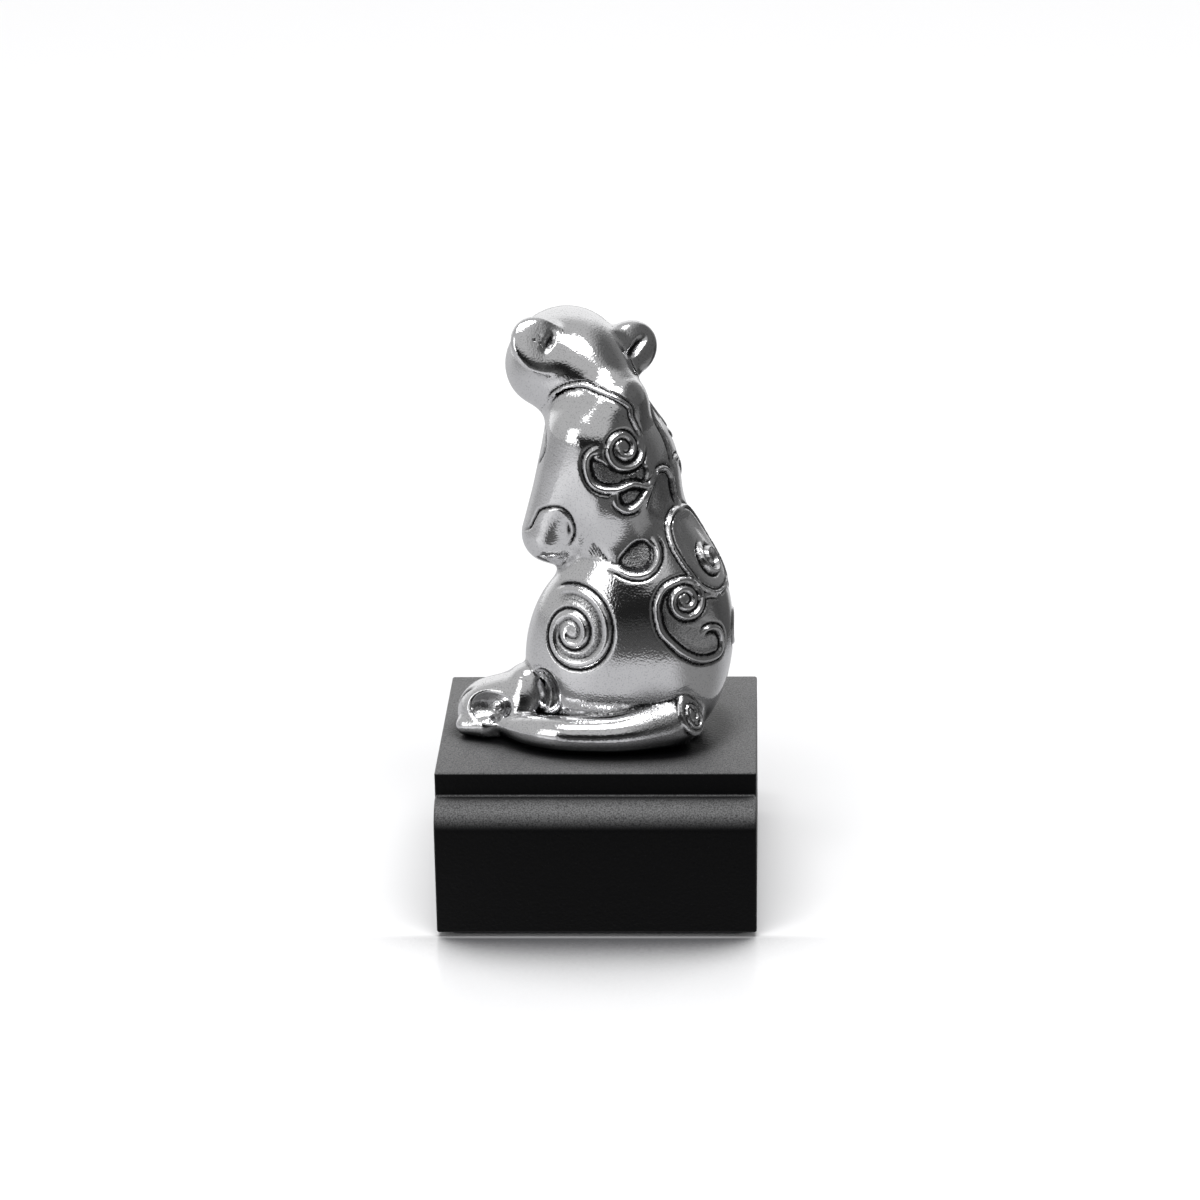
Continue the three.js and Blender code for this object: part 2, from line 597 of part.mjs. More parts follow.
function screw() {
  const headTop = -WASHER_THICKNESS;
  const tip = BLOCK_HEIGHT - COUNTERBORE_DEPTH + SCREW_ENGAGEMENT;
  const shank = bar(point(0, 0, headTop - SCREW_HEAD_HEIGHT / 2), point(0, 0, tip), SCREW_DIAMETER / 2);
  const dome = [
    new THREE.Vector2(0, headTop - SCREW_HEAD_HEIGHT),
    new THREE.Vector2(SCREW_HEAD_DIAMETER / 4, headTop - SCREW_HEAD_HEIGHT),
    new THREE.Vector2(SCREW_HEAD_DIAMETER / 2, headTop - SCREW_HEAD_HEIGHT / 2),
    new THREE.Vector2(SCREW_HEAD_DIAMETER / 2, headTop),
    new THREE.Vector2(0, headTop),
  ];
  const headGeometry = new THREE.LatheGeometry(dome, ROUND_SEGMENTS).rotateX(Math.PI / 2);
  let solid = solidOf(headGeometry).add(shank);
  const floor = headTop - SCREW_HEAD_HEIGHT + CROSS_DEPTH;
  for (const [x, y] of [[CROSS_SPAN, CROSS_WIDTH], [CROSS_WIDTH, CROSS_SPAN]]) {
    const low = point(-x / 2, -y / 2, headTop - 2 * SCREW_HEAD_HEIGHT);
    solid = solid.subtract(slab(low, point(x / 2, y / 2, floor)));
  }
  return solid;
}

function washer() {
  const bore = SCREW_DIAMETER / 2 + FIT_CLEARANCE;
  const section = [
    new THREE.Vector2(bore, -WASHER_THICKNESS),
    new THREE.Vector2(WASHER_DIAMETER / 2, -WASHER_THICKNESS),
    new THREE.Vector2(WASHER_DIAMETER / 2, 0),
    new THREE.Vector2(bore, 0),
    new THREE.Vector2(bore, -WASHER_THICKNESS),
  ];
  return solidOf(new THREE.LatheGeometry(section, ROUND_SEGMENTS).rotateX(Math.PI / 2));
}

// Assembly

const figurine = new THREE.Group();

const rat = new THREE.Group();
rat.position.set(SEAT_X, SEAT_Y, BLOCK_TOP);
rat.rotation.z = radians(SEAT_TURN);
rat.updateMatrix();
rat.add(meshOf('body_casting', bodyCasting, pewter()));
rat.add(meshOf('head_casting', headCasting, pewter()));
for (const [name, side] of Object.entries(SIDES)) {
  rat.add(meshOf(`${name}_ear`, earOf(side), pewter()));
  rat.add(meshOf(`${name}_foreleg`, forelegOf(side), pewter()));
  rat.add(meshOf(`${name}_hind_foot`, footOf(side), pewter()));
}
rat.add(meshOf('tail', tailCasting(), pewter()));
figurine.add(rat);

const screwPlaces = Object.entries(screwSpots).map(([name, spot]) => {
  const place = spot.clone().applyMatrix4(rat.matrix);
  return { name, x: place.x, y: place.y };
});
figurine.add(meshOf('base_block', woodenBlock(screwPlaces), lacquer()));

const padWidth = BLOCK_WIDTH - 2 * PAD_INSET;
const padDepth = BLOCK_DEPTH - 2 * PAD_INSET;
const pad = extrude(roundedRectangle(padWidth, padDepth, PAD_CORNER_RADIUS), PAD_THICKNESS);
figurine.add(meshOf('base_pad', solidOf(pad), felt()));

for (const { name, x, y } of screwPlaces) {
  const fixing = new THREE.Group();
  fixing.position.set(x, y, PAD_THICKNESS + COUNTERBORE_DEPTH);
  fixing.add(meshOf(`${name}_fixing_screw`, screw(), steel()));
  fixing.add(meshOf(`${name}_washer`, washer(), steel()));
  figurine.add(fixing);
}

export default figurine;
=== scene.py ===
import math

import bmesh
import bpy
import numpy as np
from mathutils import Matrix, Vector


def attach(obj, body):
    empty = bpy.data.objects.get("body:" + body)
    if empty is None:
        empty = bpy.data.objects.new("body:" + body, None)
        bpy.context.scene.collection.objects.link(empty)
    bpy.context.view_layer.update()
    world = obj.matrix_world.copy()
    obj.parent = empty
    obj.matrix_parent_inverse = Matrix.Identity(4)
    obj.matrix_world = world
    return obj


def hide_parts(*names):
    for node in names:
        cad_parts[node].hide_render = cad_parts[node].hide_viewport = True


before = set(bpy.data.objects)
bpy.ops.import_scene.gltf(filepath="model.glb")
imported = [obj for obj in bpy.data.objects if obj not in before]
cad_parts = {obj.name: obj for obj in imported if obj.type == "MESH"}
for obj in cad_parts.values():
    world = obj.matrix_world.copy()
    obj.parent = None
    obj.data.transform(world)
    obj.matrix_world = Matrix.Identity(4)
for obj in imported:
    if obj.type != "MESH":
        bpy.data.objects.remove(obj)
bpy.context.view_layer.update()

# Camera: a long lens a little above the block's front, held a degree off level,
# as for a small catalogue picture. Nothing of it belongs to the object.
MM = 0.001
LENS_MM = 126
SENSOR_MM = 36
CAMERA_DISTANCE = 663 * MM
CAMERA_ELEVATION = math.radians(20.4)
CAMERA_AZIMUTH = math.radians(2.53)
CAMERA_ROLL = math.radians(-1.05)
CAMERA_AIM = Vector((0.38, 0.02, 46.95)) * MM
CAMERA_NEAR = 10 * MM

backward = Vector((
    math.sin(CAMERA_AZIMUTH) * math.cos(CAMERA_ELEVATION),
    -math.cos(CAMERA_AZIMUTH) * math.cos(CAMERA_ELEVATION),
    math.sin(CAMERA_ELEVATION),
))
level = Vector((math.cos(CAMERA_AZIMUTH), math.sin(CAMERA_AZIMUTH), 0))
upright = backward.cross(level)
rightward = level * math.cos(CAMERA_ROLL) + upright * math.sin(CAMERA_ROLL)
upward = upright * math.cos(CAMERA_ROLL) - level * math.sin(CAMERA_ROLL)


def put(name, data):
    made = bpy.data.objects.new(name, data)
    bpy.context.scene.collection.objects.link(made)
    return made


camera = put("camera", bpy.data.cameras.new("camera"))
camera.data.lens = LENS_MM
camera.data.sensor_width = SENSOR_MM
camera.data.sensor_fit = "HORIZONTAL"
camera.data.clip_start = CAMERA_NEAR
camera.matrix_world = Matrix.Translation(CAMERA_AIM + backward * CAMERA_DISTANCE) @ Matrix(
    (rightward, upward, backward)
).transposed().to_4x4()
bpy.context.scene.camera = camera
bpy.context.scene.view_settings.view_transform = "Standard"

# Studio: a white sweep on a table, softboxes above and to the left, a white backdrop behind and a dark
# room in front and to the right. In the polish of the metal the sweep shows a painted reflection: a grey
# tone, painted dark a little way off except on the left, and on the right. In front of the block the
# sweep carries a painted shadow.
FLOOR_RADIUS = 4.0
FLOOR_SIDES = 64
FLOOR_COLOUR = (0.92, 0.92, 0.93, 1)
FLOOR_PAINTED_SHADOW_COLOUR = (0.10, 0.10, 0.105, 1)
FLOOR_PAINTED_SHADOW_REACH = 0.050
FLOOR_PAINTED_SHADOW_OPENNESS = (0.50, 0.93)
FLOOR_PAINTED_SHADOW_FRONT = (-0.0256, -0.0236)
FLOOR_PAINTED_REFLECTION_COLOUR = (0.46, 0.46, 0.47, 1)
FLOOR_PAINTED_REFLECTION_DARK_COLOUR = (0.05, 0.05, 0.05, 1)
FLOOR_EDGE = (0.095, 0.130)
FLOOR_LEFT_SLOPE = -0.55
FLOOR_LEFT_EDGE = (-0.005, 0.025)
FLOOR_PAINTED_REFLECTION_RIGHT_COLOUR = (0.22, 0.22, 0.22, 1)
FLOOR_RIGHT_SLOPE = 0.47
FLOOR_RIGHT_EDGE = (0.0, 0.04)
FLOOR_BACK_EDGE = (0.0, 0.06)
FLOOR_GLOW_REACH = (0.05, 0.30)
FLOOR_GLOW = 0.25
FLOOR_ROUGHNESS = 0.22
SKY_LIGHT = 0.52
ROOM_LEFT = 0.50
ROOM_LEFT_EDGE = (-0.60, -0.50)
ROOM_RIGHT = 0.10
ROOM_RIGHT_EDGE = (0.05, 0.70)
ROOM_ABOVE_LEFT = 0.52
ROOM_ABOVE_RIGHT = 0.12
ROOM_ABOVE_RIGHT_EDGE = (0.38, 0.66)
ROOM_ABOVE_EDGE = (0.24, 0.42)
ROOM_BEHIND_CAMERA = 0.015
ROOM_BACKDROP = 1.0
ROOM_BACKDROP_RIGHT = 0.22
ROOM_BACKDROP_RIGHT_EDGE = (0.40, 0.62)
ROOM_BACKDROP_EDGE = (0.25, 0.75)
SOFTBOXES = {
    "overhead_softbox": {"spot": (-0.03, -0.28, 0.70), "size": (0.56, 0.34), "watts": 1.9},
    "strip_softbox": {"spot": (0.0, -0.24, 0.64), "size": (0.50, 0.10), "watts": 2.2},
    "left_softbox": {"spot": (-0.46, -0.44, 0.26), "size": (0.26, 0.40), "watts": 0.4},
}
STUDIO_AIM = Vector((0, 0, 0.05))


def new_material(name):
    made = bpy.data.materials.new(name)
    made.use_nodes = True
    return made, made.node_tree.nodes, made.node_tree.links, made.node_tree.nodes["Principled BSDF"]


def facing(spot, aim):
    """Turns an object's -Z towards the aim from its spot."""
    return (aim - spot).to_track_quat("-Z", "Y").to_matrix().to_4x4()


def mesh_from(name, shape):
    mesh = bpy.data.meshes.new(name)
    shape.to_mesh(mesh)
    shape.free()
    return mesh


shape = bmesh.new()
bmesh.ops.create_circle(shape, cap_ends=True, radius=FLOOR_RADIUS, segments=FLOOR_SIDES)
floor = put("floor", mesh_from("floor", shape))
floor_white, nodes, links, shader = new_material("floor_white")


def tone_step(nodes, links, value, start, end, first, second):
    """A smooth change from one tone to another as a value goes from start to end."""
    step = nodes.new("ShaderNodeMapRange")
    step.interpolation_type = "SMOOTHSTEP"
    step.inputs["From Min"].default_value = start
    step.inputs["From Max"].default_value = end
    for socket, tone in (("To Min", first), ("To Max", second)):
        if isinstance(tone, float):
            step.inputs[socket].default_value = tone
        else:
            links.new(tone, step.inputs[socket])
    links.new(value, step.inputs["Value"])
    return step.outputs["Result"]


def mix_colours(tree, mask, first, second):
    """A mix of two colours, each given as a value or as the output of another node."""
    mix = tree.nodes.new("ShaderNodeMix")
    mix.data_type = "RGBA"
    for socket, colour in ((mix.inputs["A"], first), (mix.inputs["B"], second)):
        if isinstance(colour, tuple):
            socket.default_value = colour
        else:
            tree.links.new(colour, socket)
    tree.links.new(mask, mix.inputs["Factor"])
    return mix.outputs["Result"]


place = nodes.new("ShaderNodeTexCoord").outputs["Object"]
split = nodes.new("ShaderNodeSeparateXYZ")
links.new(place, split.inputs[0])
away = nodes.new("ShaderNodeVectorMath")
away.operation = "LENGTH"
links.new(place, away.inputs[0])


def slanted(slope):
    """How far a place on the floor lies to the right of a slanting line through the middle."""
    across = nodes.new("ShaderNodeMath")
    across.operation = "MULTIPLY_ADD"
    across.inputs[1].default_value = slope
    links.new(split.outputs["Y"], across.inputs[0])
    links.new(split.outputs["X"], across.inputs[2])
    return across.outputs[0]


# Painted reflection: glossy rays see the floor in a grey tone, painted dark beyond a short reach except on
# the left, and painted dark on the right in front of the back.
past_edge = tone_step(nodes, links, away.outputs["Value"], *FLOOR_EDGE, 0.0, 1.0)
past_edge = tone_step(nodes, links, slanted(FLOOR_LEFT_SLOPE), *FLOOR_LEFT_EDGE, 0.0, past_edge)
before = tone_step(nodes, links, split.outputs["Y"], *FLOOR_BACK_EDGE, 1.0, 0.0)
on_right = tone_step(nodes, links, slanted(FLOOR_RIGHT_SLOPE), *FLOOR_RIGHT_EDGE, 0.0, before)
painted_reflection_colour = mix_colours(floor_white.node_tree, past_edge, FLOOR_PAINTED_REFLECTION_COLOUR, FLOOR_PAINTED_REFLECTION_DARK_COLOUR)
painted_reflection_colour = mix_colours(floor_white.node_tree, on_right, painted_reflection_colour, FLOOR_PAINTED_REFLECTION_RIGHT_COLOUR)
# Painted shadow: in front of the block the floor's colour is darkened where the ambient-occlusion node
# finds it hemmed in, as a contact shadow.
contact = nodes.new("ShaderNodeAmbientOcclusion")
contact.inputs["Distance"].default_value = FLOOR_PAINTED_SHADOW_REACH
in_front = tone_step(nodes, links, split.outputs["Y"], *FLOOR_PAINTED_SHADOW_FRONT, 1.0, 0.0)
painted_shadow = tone_step(nodes, links, contact.outputs["AO"], *FLOOR_PAINTED_SHADOW_OPENNESS, in_front, 0.0)
shadowed_floor_colour = mix_colours(floor_white.node_tree, painted_shadow, FLOOR_COLOUR, FLOOR_PAINTED_SHADOW_COLOUR)
# Glossy rays get the painted reflection colour; other rays get the floor colour with its painted shadow.
rays = nodes.new("ShaderNodeLightPath")
links.new(mix_colours(floor_white.node_tree, rays.outputs["Is Glossy Ray"], shadowed_floor_colour, painted_reflection_colour),
          shader.inputs["Base Color"])
shader.inputs["Roughness"].default_value = FLOOR_ROUGHNESS
glow = tone_step(nodes, links, away.outputs["Value"], *FLOOR_GLOW_REACH, 0.0, 1.0)
seen_glow = tone_step(nodes, links, rays.outputs["Is Camera Ray"], 0.0, 1.0, 0.0, glow)
links.new(seen_glow, shader.inputs["Emission Color"])
shader.inputs["Emission Strength"].default_value = FLOOR_GLOW
floor.data.materials.append(floor_white)

for name, box in SOFTBOXES.items():
    lamp = bpy.data.lights.new(name, "AREA")
    lamp.shape = "RECTANGLE"
    lamp.size, lamp.size_y = box["size"]
    lamp.energy = box["watts"]
    softbox = put(name, lamp)
    spot = Vector(box["spot"])
    softbox.matrix_world = Matrix.Translation(spot) @ facing(spot, STUDIO_AIM)
    softbox.visible_camera = False

world = bpy.data.worlds.new("studio")
bpy.context.scene.world = world
world.use_nodes = True
nodes = world.node_tree.nodes
links = world.node_tree.links
way = nodes.new("ShaderNodeTexCoord").outputs["Generated"]
split = nodes.new("ShaderNodeSeparateXYZ")
links.new(way, split.inputs[0])
across, away, up = split.outputs
front = tone_step(nodes, links, across, *ROOM_RIGHT_EDGE, ROOM_BEHIND_CAMERA, ROOM_RIGHT)
room = tone_step(nodes, links, across, *ROOM_LEFT_EDGE, ROOM_LEFT, front)
above = tone_step(nodes, links, across, *ROOM_ABOVE_RIGHT_EDGE, ROOM_ABOVE_LEFT, ROOM_ABOVE_RIGHT)
room = tone_step(nodes, links, up, *ROOM_ABOVE_EDGE, room, above)
backdrop = tone_step(nodes, links, across, *ROOM_BACKDROP_RIGHT_EDGE, ROOM_BACKDROP, ROOM_BACKDROP_RIGHT)
room = tone_step(nodes, links, away, *ROOM_BACKDROP_EDGE, room, backdrop)
rays = nodes.new("ShaderNodeLightPath")
shown = nodes.new("ShaderNodeMath")
shown.operation = "MAXIMUM"
links.new(rays.outputs["Is Glossy Ray"], shown.inputs[0])
links.new(rays.outputs["Is Transmission Ray"], shown.inputs[1])
light = tone_step(nodes, links, shown.outputs[0], 0.0, 1.0, SKY_LIGHT, room)
light = tone_step(nodes, links, rays.outputs["Is Camera Ray"], 0.0, 1.0, light, 1.0)
sky = nodes["Background"]
sky.inputs["Color"].default_value = (1, 1, 1, 1)
links.new(light, sky.inputs["Strength"])

# Base pad: a thin sheet of black felt glued under the block, so that it doesn't mark
# a shelf. It hides the screw holes.
FELT_COLOUR = (0.030, 0.030, 0.034, 1)
FELT_FIBRE_COLOUR = (0.085, 0.085, 0.092, 1)
FELT_FIBRE_PITCH = 0.35 * MM
FELT_ROUGHNESS = 0.95
FELT_SHEEN = 0.3
FELT_NAP = 0.6
FELT_NAP_DEPTH = 0.2 * MM
GRAIN_DETAIL = 3.0
GRAIN_ROUGHNESS = 0.6
SPECK_RANGE = (0.38, 0.66)


def grain_group():
    """Fine noise on the object's own coordinates: a height and a mask, at a given pitch."""
    group = bpy.data.node_groups.new("surface_grain", "ShaderNodeTree")
    pitch = group.interface.new_socket("Pitch", in_out="INPUT", socket_type="NodeSocketFloat")
    pitch.default_value = MM
    detail = group.interface.new_socket("Detail", in_out="INPUT", socket_type="NodeSocketFloat")
    detail.default_value = GRAIN_DETAIL
    group.interface.new_socket("Height", in_out="OUTPUT", socket_type="NodeSocketFloat")
    group.interface.new_socket("Specks", in_out="OUTPUT", socket_type="NodeSocketFloat")
    inner = group.nodes
    wires = group.links
    entry = inner.new("NodeGroupInput")
    leave = inner.new("NodeGroupOutput")
    place = inner.new("ShaderNodeTexCoord")
    scale = inner.new("ShaderNodeMath")
    scale.operation = "DIVIDE"
    scale.inputs[0].default_value = 1.0
    wires.new(entry.outputs["Pitch"], scale.inputs[1])
    noise = inner.new("ShaderNodeTexNoise")
    wires.new(entry.outputs["Detail"], noise.inputs["Detail"])
    noise.inputs["Roughness"].default_value = GRAIN_ROUGHNESS
    wires.new(place.outputs["Object"], noise.inputs["Vector"])
    wires.new(scale.outputs[0], noise.inputs["Scale"])
    specks = inner.new("ShaderNodeMapRange")
    specks.inputs["From Min"].default_value = SPECK_RANGE[0]
    specks.inputs["From Max"].default_value = SPECK_RANGE[1]
    wires.new(noise.outputs["Fac"], specks.inputs["Value"])
    wires.new(noise.outputs["Fac"], leave.inputs["Height"])
    wires.new(specks.outputs["Result"], leave.inputs["Specks"])
    return group


surface_grain = grain_group()


def add_grain(tree, pitch, detail=GRAIN_DETAIL):
    node = tree.nodes.new("ShaderNodeGroup")
    node.node_tree = surface_grain
    node.inputs["Pitch"].default_value = pitch
    node.inputs["Detail"].default_value = detail
    return node


def add_bump(tree, shader, height, strength, depth):
    bump = tree.nodes.new("ShaderNodeBump")
    bump.inputs["Strength"].default_value = strength
    bump.inputs["Distance"].default_value = depth
    tree.links.new(height, bump.inputs["Height"])
    tree.links.new(bump.outputs["Normal"], shader.inputs["Normal"])


def finish_node(name, finish):
    """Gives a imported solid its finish."""
    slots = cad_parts[name].data.materials
    slots.clear()
    slots.append(finish)


felt, nodes, links, shader = new_material("black_felt")
fibres = add_grain(felt.node_tree, FELT_FIBRE_PITCH)
links.new(mix_colours(felt.node_tree, fibres.outputs["Specks"], FELT_COLOUR, FELT_FIBRE_COLOUR),
          shader.inputs["Base Color"])
shader.inputs["Roughness"].default_value = FELT_ROUGHNESS
shader.inputs["Sheen Weight"].default_value = FELT_SHEEN
add_bump(felt.node_tree, shader, fibres.outputs["Height"], FELT_NAP, FELT_NAP_DEPTH)
finish_node("base_pad", felt)

# Wooden block: a square block with a quarter-round and a raised strip milled along its front
# and back, sprayed with satin black lacquer that shows a little orange peel. A grey painted sheen
# lightens what faces up, and is left out in the corners as painted shade. Two counterbored holes
# underneath take the screws.
BLOCK_WIDTH = 50
BLOCK_DEPTH = 50
BLOCK_FOOT = 0.8
BLOCK_TOP = 26
STRIP_HEIGHT = 3.9
MOULDING_RADIUS = 4.5
MOULDING_STEPS = 20
ARRIS_WIDTH = 0.7
ARRIS_STEPS = 3
ARRIS_ANGLE = math.radians(40)
SHARP_ANGLE = math.radians(32)
SCREW_SPOTS = ((-0.03, 2.54), (11.25, -1.57))
HOLE_RADIUS = 1.8
COUNTERBORE_RADIUS = 3.8
COUNTERBORE_TOP = 9.8
DRILL_SIDES = 40
DRILL_OVERRUN = 1
LACQUER_COLOUR = (0.002, 0.002, 0.0022, 1)
PAINTED_SHEEN_COLOUR = (0.155, 0.155, 0.157, 1)
PAINTED_SHEEN_SPECK_COLOUR = (0.04, 0.04, 0.041, 1)
PAINTED_SHEEN_FACING = (0.10, 0.75)
CORNER_PAINTED_SHADE_REACH = 7 * MM
CORNER_PAINTED_SHADE_OPENNESS = (0.60, 0.98)
MIST_PITCH = 0.22 * MM
LACQUER_IOR = 1.8
LACQUER_TINT = (0.07, 0.07, 0.07, 1)
LACQUER_ROUGHNESS = (0.32, 0.44)
PEEL_PITCH = 0.45 * MM
PEEL = 0.8
PEEL_DEPTH = 0.10 * MM


def moulded_outline():
    """The block seen from its end, as places across (y) and up (z), from the foot round the front."""
    half = BLOCK_DEPTH / 2
    strip = half - MOULDING_RADIUS
    ledge = BLOCK_TOP - STRIP_HEIGHT
    front = [(-half, BLOCK_FOOT)]
    for step in range(MOULDING_STEPS + 1):
        turn = math.pi / 2 * step / MOULDING_STEPS
        across = -strip - MOULDING_RADIUS * math.cos(turn)
        front.append((across, ledge - MOULDING_RADIUS + MOULDING_RADIUS * math.sin(turn)))
    front.append((-strip, BLOCK_TOP))
    return front + [(-across, up) for across, up in reversed(front)]


def applied(piece):
    """The piece's mesh with its modifiers worked in."""
    bpy.context.view_layer.update()
    whole = piece.evaluated_get(bpy.context.evaluated_depsgraph_get())
    mesh = bpy.data.meshes.new_from_object(whole)
    piece.modifiers.clear()
    piece.data = mesh
    return mesh


def drill(name, spot, radius, bottom, top):
    shape = bmesh.new()
    middle = Matrix.Translation(Vector((spot[0], spot[1], (bottom + top) / 2)) * MM)
    bmesh.ops.create_cone(shape, cap_ends=True, segments=DRILL_SIDES, radius1=radius * MM,
                          radius2=radius * MM, depth=(top - bottom) * MM, matrix=middle)
    return put(name, mesh_from(name, shape))


outline = moulded_outline()
shape = bmesh.new()
ends = []
for end in (-BLOCK_WIDTH / 2, BLOCK_WIDTH / 2):
    ends.append([shape.verts.new((end * MM, across * MM, up * MM)) for across, up in outline])
for place in range(len(outline)):
    after = (place + 1) % len(outline)
    shape.faces.new((ends[0][place], ends[0][after], ends[1][after], ends[1][place]))
shape.faces.new(reversed(ends[0]))
shape.faces.new(ends[1])
bmesh.ops.recalc_face_normals(shape, faces=shape.faces)
lacquered_block = put("lacquered_block", mesh_from("lacquered_block", shape))
arris = lacquered_block.modifiers.new("arris", "BEVEL")
arris.width = ARRIS_WIDTH * MM
arris.segments = ARRIS_STEPS
arris.limit_method = "ANGLE"
arris.angle_limit = ARRIS_ANGLE
drills = []
below = BLOCK_FOOT - DRILL_OVERRUN
for number, spot in enumerate(SCREW_SPOTS):
    drills.append(drill(f"hole_{number}", spot, HOLE_RADIUS, below, BLOCK_TOP + DRILL_OVERRUN))
    drills.append(drill(f"counterbore_{number}", spot, COUNTERBORE_RADIUS, below, COUNTERBORE_TOP))
for tool in drills:
    cut = lacquered_block.modifiers.new(tool.name, "BOOLEAN")
    cut.operation = "DIFFERENCE"
    cut.object = tool
mesh = applied(lacquered_block)
for tool in drills:
    bpy.data.objects.remove(tool)
mesh.shade_smooth()
mesh.set_sharp_from_angle(angle=SHARP_ANGLE)


def between(tree, mask, ends):
    """A value that goes from the first end to the second as the mask goes from 0 to 1."""
    span = tree.nodes.new("ShaderNodeMapRange")
    span.inputs["To Min"].default_value = ends[0]
    span.inputs["To Max"].default_value = ends[1]
    tree.links.new(mask, span.inputs["Value"])
    return span.outputs["Result"]


lacquer, nodes, links, shader = new_material("satin_black_lacquer")
tree = lacquer.node_tree
peel = add_grain(tree, PEEL_PITCH)
mist = add_grain(tree, MIST_PITCH)
# Painted sheen: what faces up is lightened to a speckled grey, as light from above would do; in corners,
# where the ambient-occlusion node finds them hemmed in, it is left out as painted shade.
facing_way = nodes.new("ShaderNodeSeparateXYZ")
links.new(nodes.new("ShaderNodeNewGeometry").outputs["Normal"], facing_way.inputs[0])
painted_sheen = tone_step(nodes, links, facing_way.outputs["Z"], *PAINTED_SHEEN_FACING, 0.0, 1.0)
open_way = nodes.new("ShaderNodeAmbientOcclusion")
open_way.inputs["Distance"].default_value = CORNER_PAINTED_SHADE_REACH
painted_sheen = tone_step(nodes, links, open_way.outputs["AO"], *CORNER_PAINTED_SHADE_OPENNESS, 0.0, painted_sheen)
painted_sheen_tone = mix_colours(tree, mist.outputs["Specks"], PAINTED_SHEEN_COLOUR, PAINTED_SHEEN_SPECK_COLOUR)
links.new(mix_colours(tree, painted_sheen, LACQUER_COLOUR, painted_sheen_tone), shader.inputs["Base Color"])
shader.inputs["IOR"].default_value = LACQUER_IOR
shader.inputs["Specular Tint"].default_value = LACQUER_TINT
links.new(between(tree, mist.outputs["Specks"], LACQUER_ROUGHNESS), shader.inputs["Roughness"])
add_bump(tree, shader, peel.outputs["Height"], PEEL, PEEL_DEPTH)
mesh.materials.clear()
mesh.materials.append(lacquer)
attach(lacquered_block, "root")
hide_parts("base_block")

# Fixing screws and washers: zinc-plated steel, driven up through the block into the casting.
# They stand in the counterbores above the felt.
ZINC_COLOUR = (0.62, 0.64, 0.66, 1)
ZINC_DULL_COLOUR = (0.42, 0.44, 0.46, 1)
ZINC_ROUGHNESS = 0.32
ZINC_BLOOM_PITCH = 0.8 * MM
ZINC_BLOOM = 0.2
ZINC_BLOOM_DEPTH = 0.05 * MM

zinc, nodes, links, shader = new_material("zinc_plate")
bloom = add_grain(zinc.node_tree, ZINC_BLOOM_PITCH)
links.new(mix_colours(zinc.node_tree, bloom.outputs["Specks"], ZINC_COLOUR, ZINC_DULL_COLOUR),
          shader.inputs["Base Color"])
shader.inputs["Metallic"].default_value = 1.0
shader.inputs["Roughness"].default_value = ZINC_ROUGHNESS
add_bump(zinc.node_tree, shader, bloom.outputs["Height"], ZINC_BLOOM, ZINC_BLOOM_DEPTH)
for name in ("front_fixing_screw", "rear_fixing_screw", "front_washer", "rear_washer"):
    finish_node(name, zinc)

# Body casting: trunk, haunches and upper arms, poured in one piece of pewter and held by the two
# screws. It sits upright, turned a little from the front of the block, with a fold under the swell
# of the ribs, a raised left shoulder blade and a pocket between the left haunch and foot.
SEAT = np.array([4.2, 1.0, BLOCK_TOP])
SEAT_TURN = math.radians(20)
AHEAD = np.array([-math.cos(SEAT_TURN), math.sin(SEAT_TURN), 0])
LEFT = np.array([-math.sin(SEAT_TURN), -math.cos(SEAT_TURN), 0])
UP = np.array([0, 0, 1.0])
SIDES = {"left": 1, "right": -1}

RUMP = {"at": (-4.1, 0, 16.5), "half": (13.5, 12.3, 20.5)}
CHEST = {"at": (0.6, -0.3, 36), "half": (9.8, 9.4, 18), "lean": 11}
CHEST_FILLET = 4.5
NECK = {"root": (3, 0, 46), "top": (6.4, -0.6, 57), "radii": (8.2, 6.4)}
NECK_FILLET = 6
HAUNCH = {"at": (3.4, 6.8, 13.5), "half": (10.4, 6.4, 16), "lean": -8}
HAUNCH_FILLET = 3
RIBS = {"at": (0.7, 3.7, 40.4), "half": (7.8, 7.4, 10.0)}
BLADE = {"at": (1.2, 4.2, 46.6), "half": (5.4, 6.1, 9.4)}
RIBS_FILLET = 3.0
SHOULDER = (4.4, 5.7, 49.0)
ELBOW = (9.2, 7.0, 33.2)
ARM_RADII = (5.4, 4.7)
ARM_FILLET = 3.0
POCKET = {"at": (9.4, 13.2, 8.0), "half": (2.7, 3.4, 3.8)}
POCKET_FILLET = 1.6


def spot_on_figure(reach, side, height):
    """A place given ahead of, left of and above the casting's seat."""
    return SEAT + reach * AHEAD + side * LEFT + height * UP


def on_side(place, side):
    """A place given for the left side, put on the side that is meant."""
    return place[0], place[1] * side, place[2]


def unit(way):
    return way / np.linalg.norm(way)


def blended(first, second, fillet):
    """Two distance fields joined with a fillet."""
    share = np.clip(fillet - np.abs(first - second), 0, None) / fillet
    return np.minimum(first, second) - share * share * fillet / 4


def hollowed(first, second, fillet):
    """The first distance field with the second taken out of it."""
    return -blended(-first, second, fillet)


def leant(axes, about, degrees):
    turn = math.radians(degrees)
    turned = []
    for axis in axes:
        across = np.cross(about, axis) * math.sin(turn)
        turned.append(axis * math.cos(turn) + across + about * (about @ axis) * (1 - math.cos(turn)))
    return np.array(turned)


FIGURE_AXES = np.array([AHEAD, LEFT, UP])


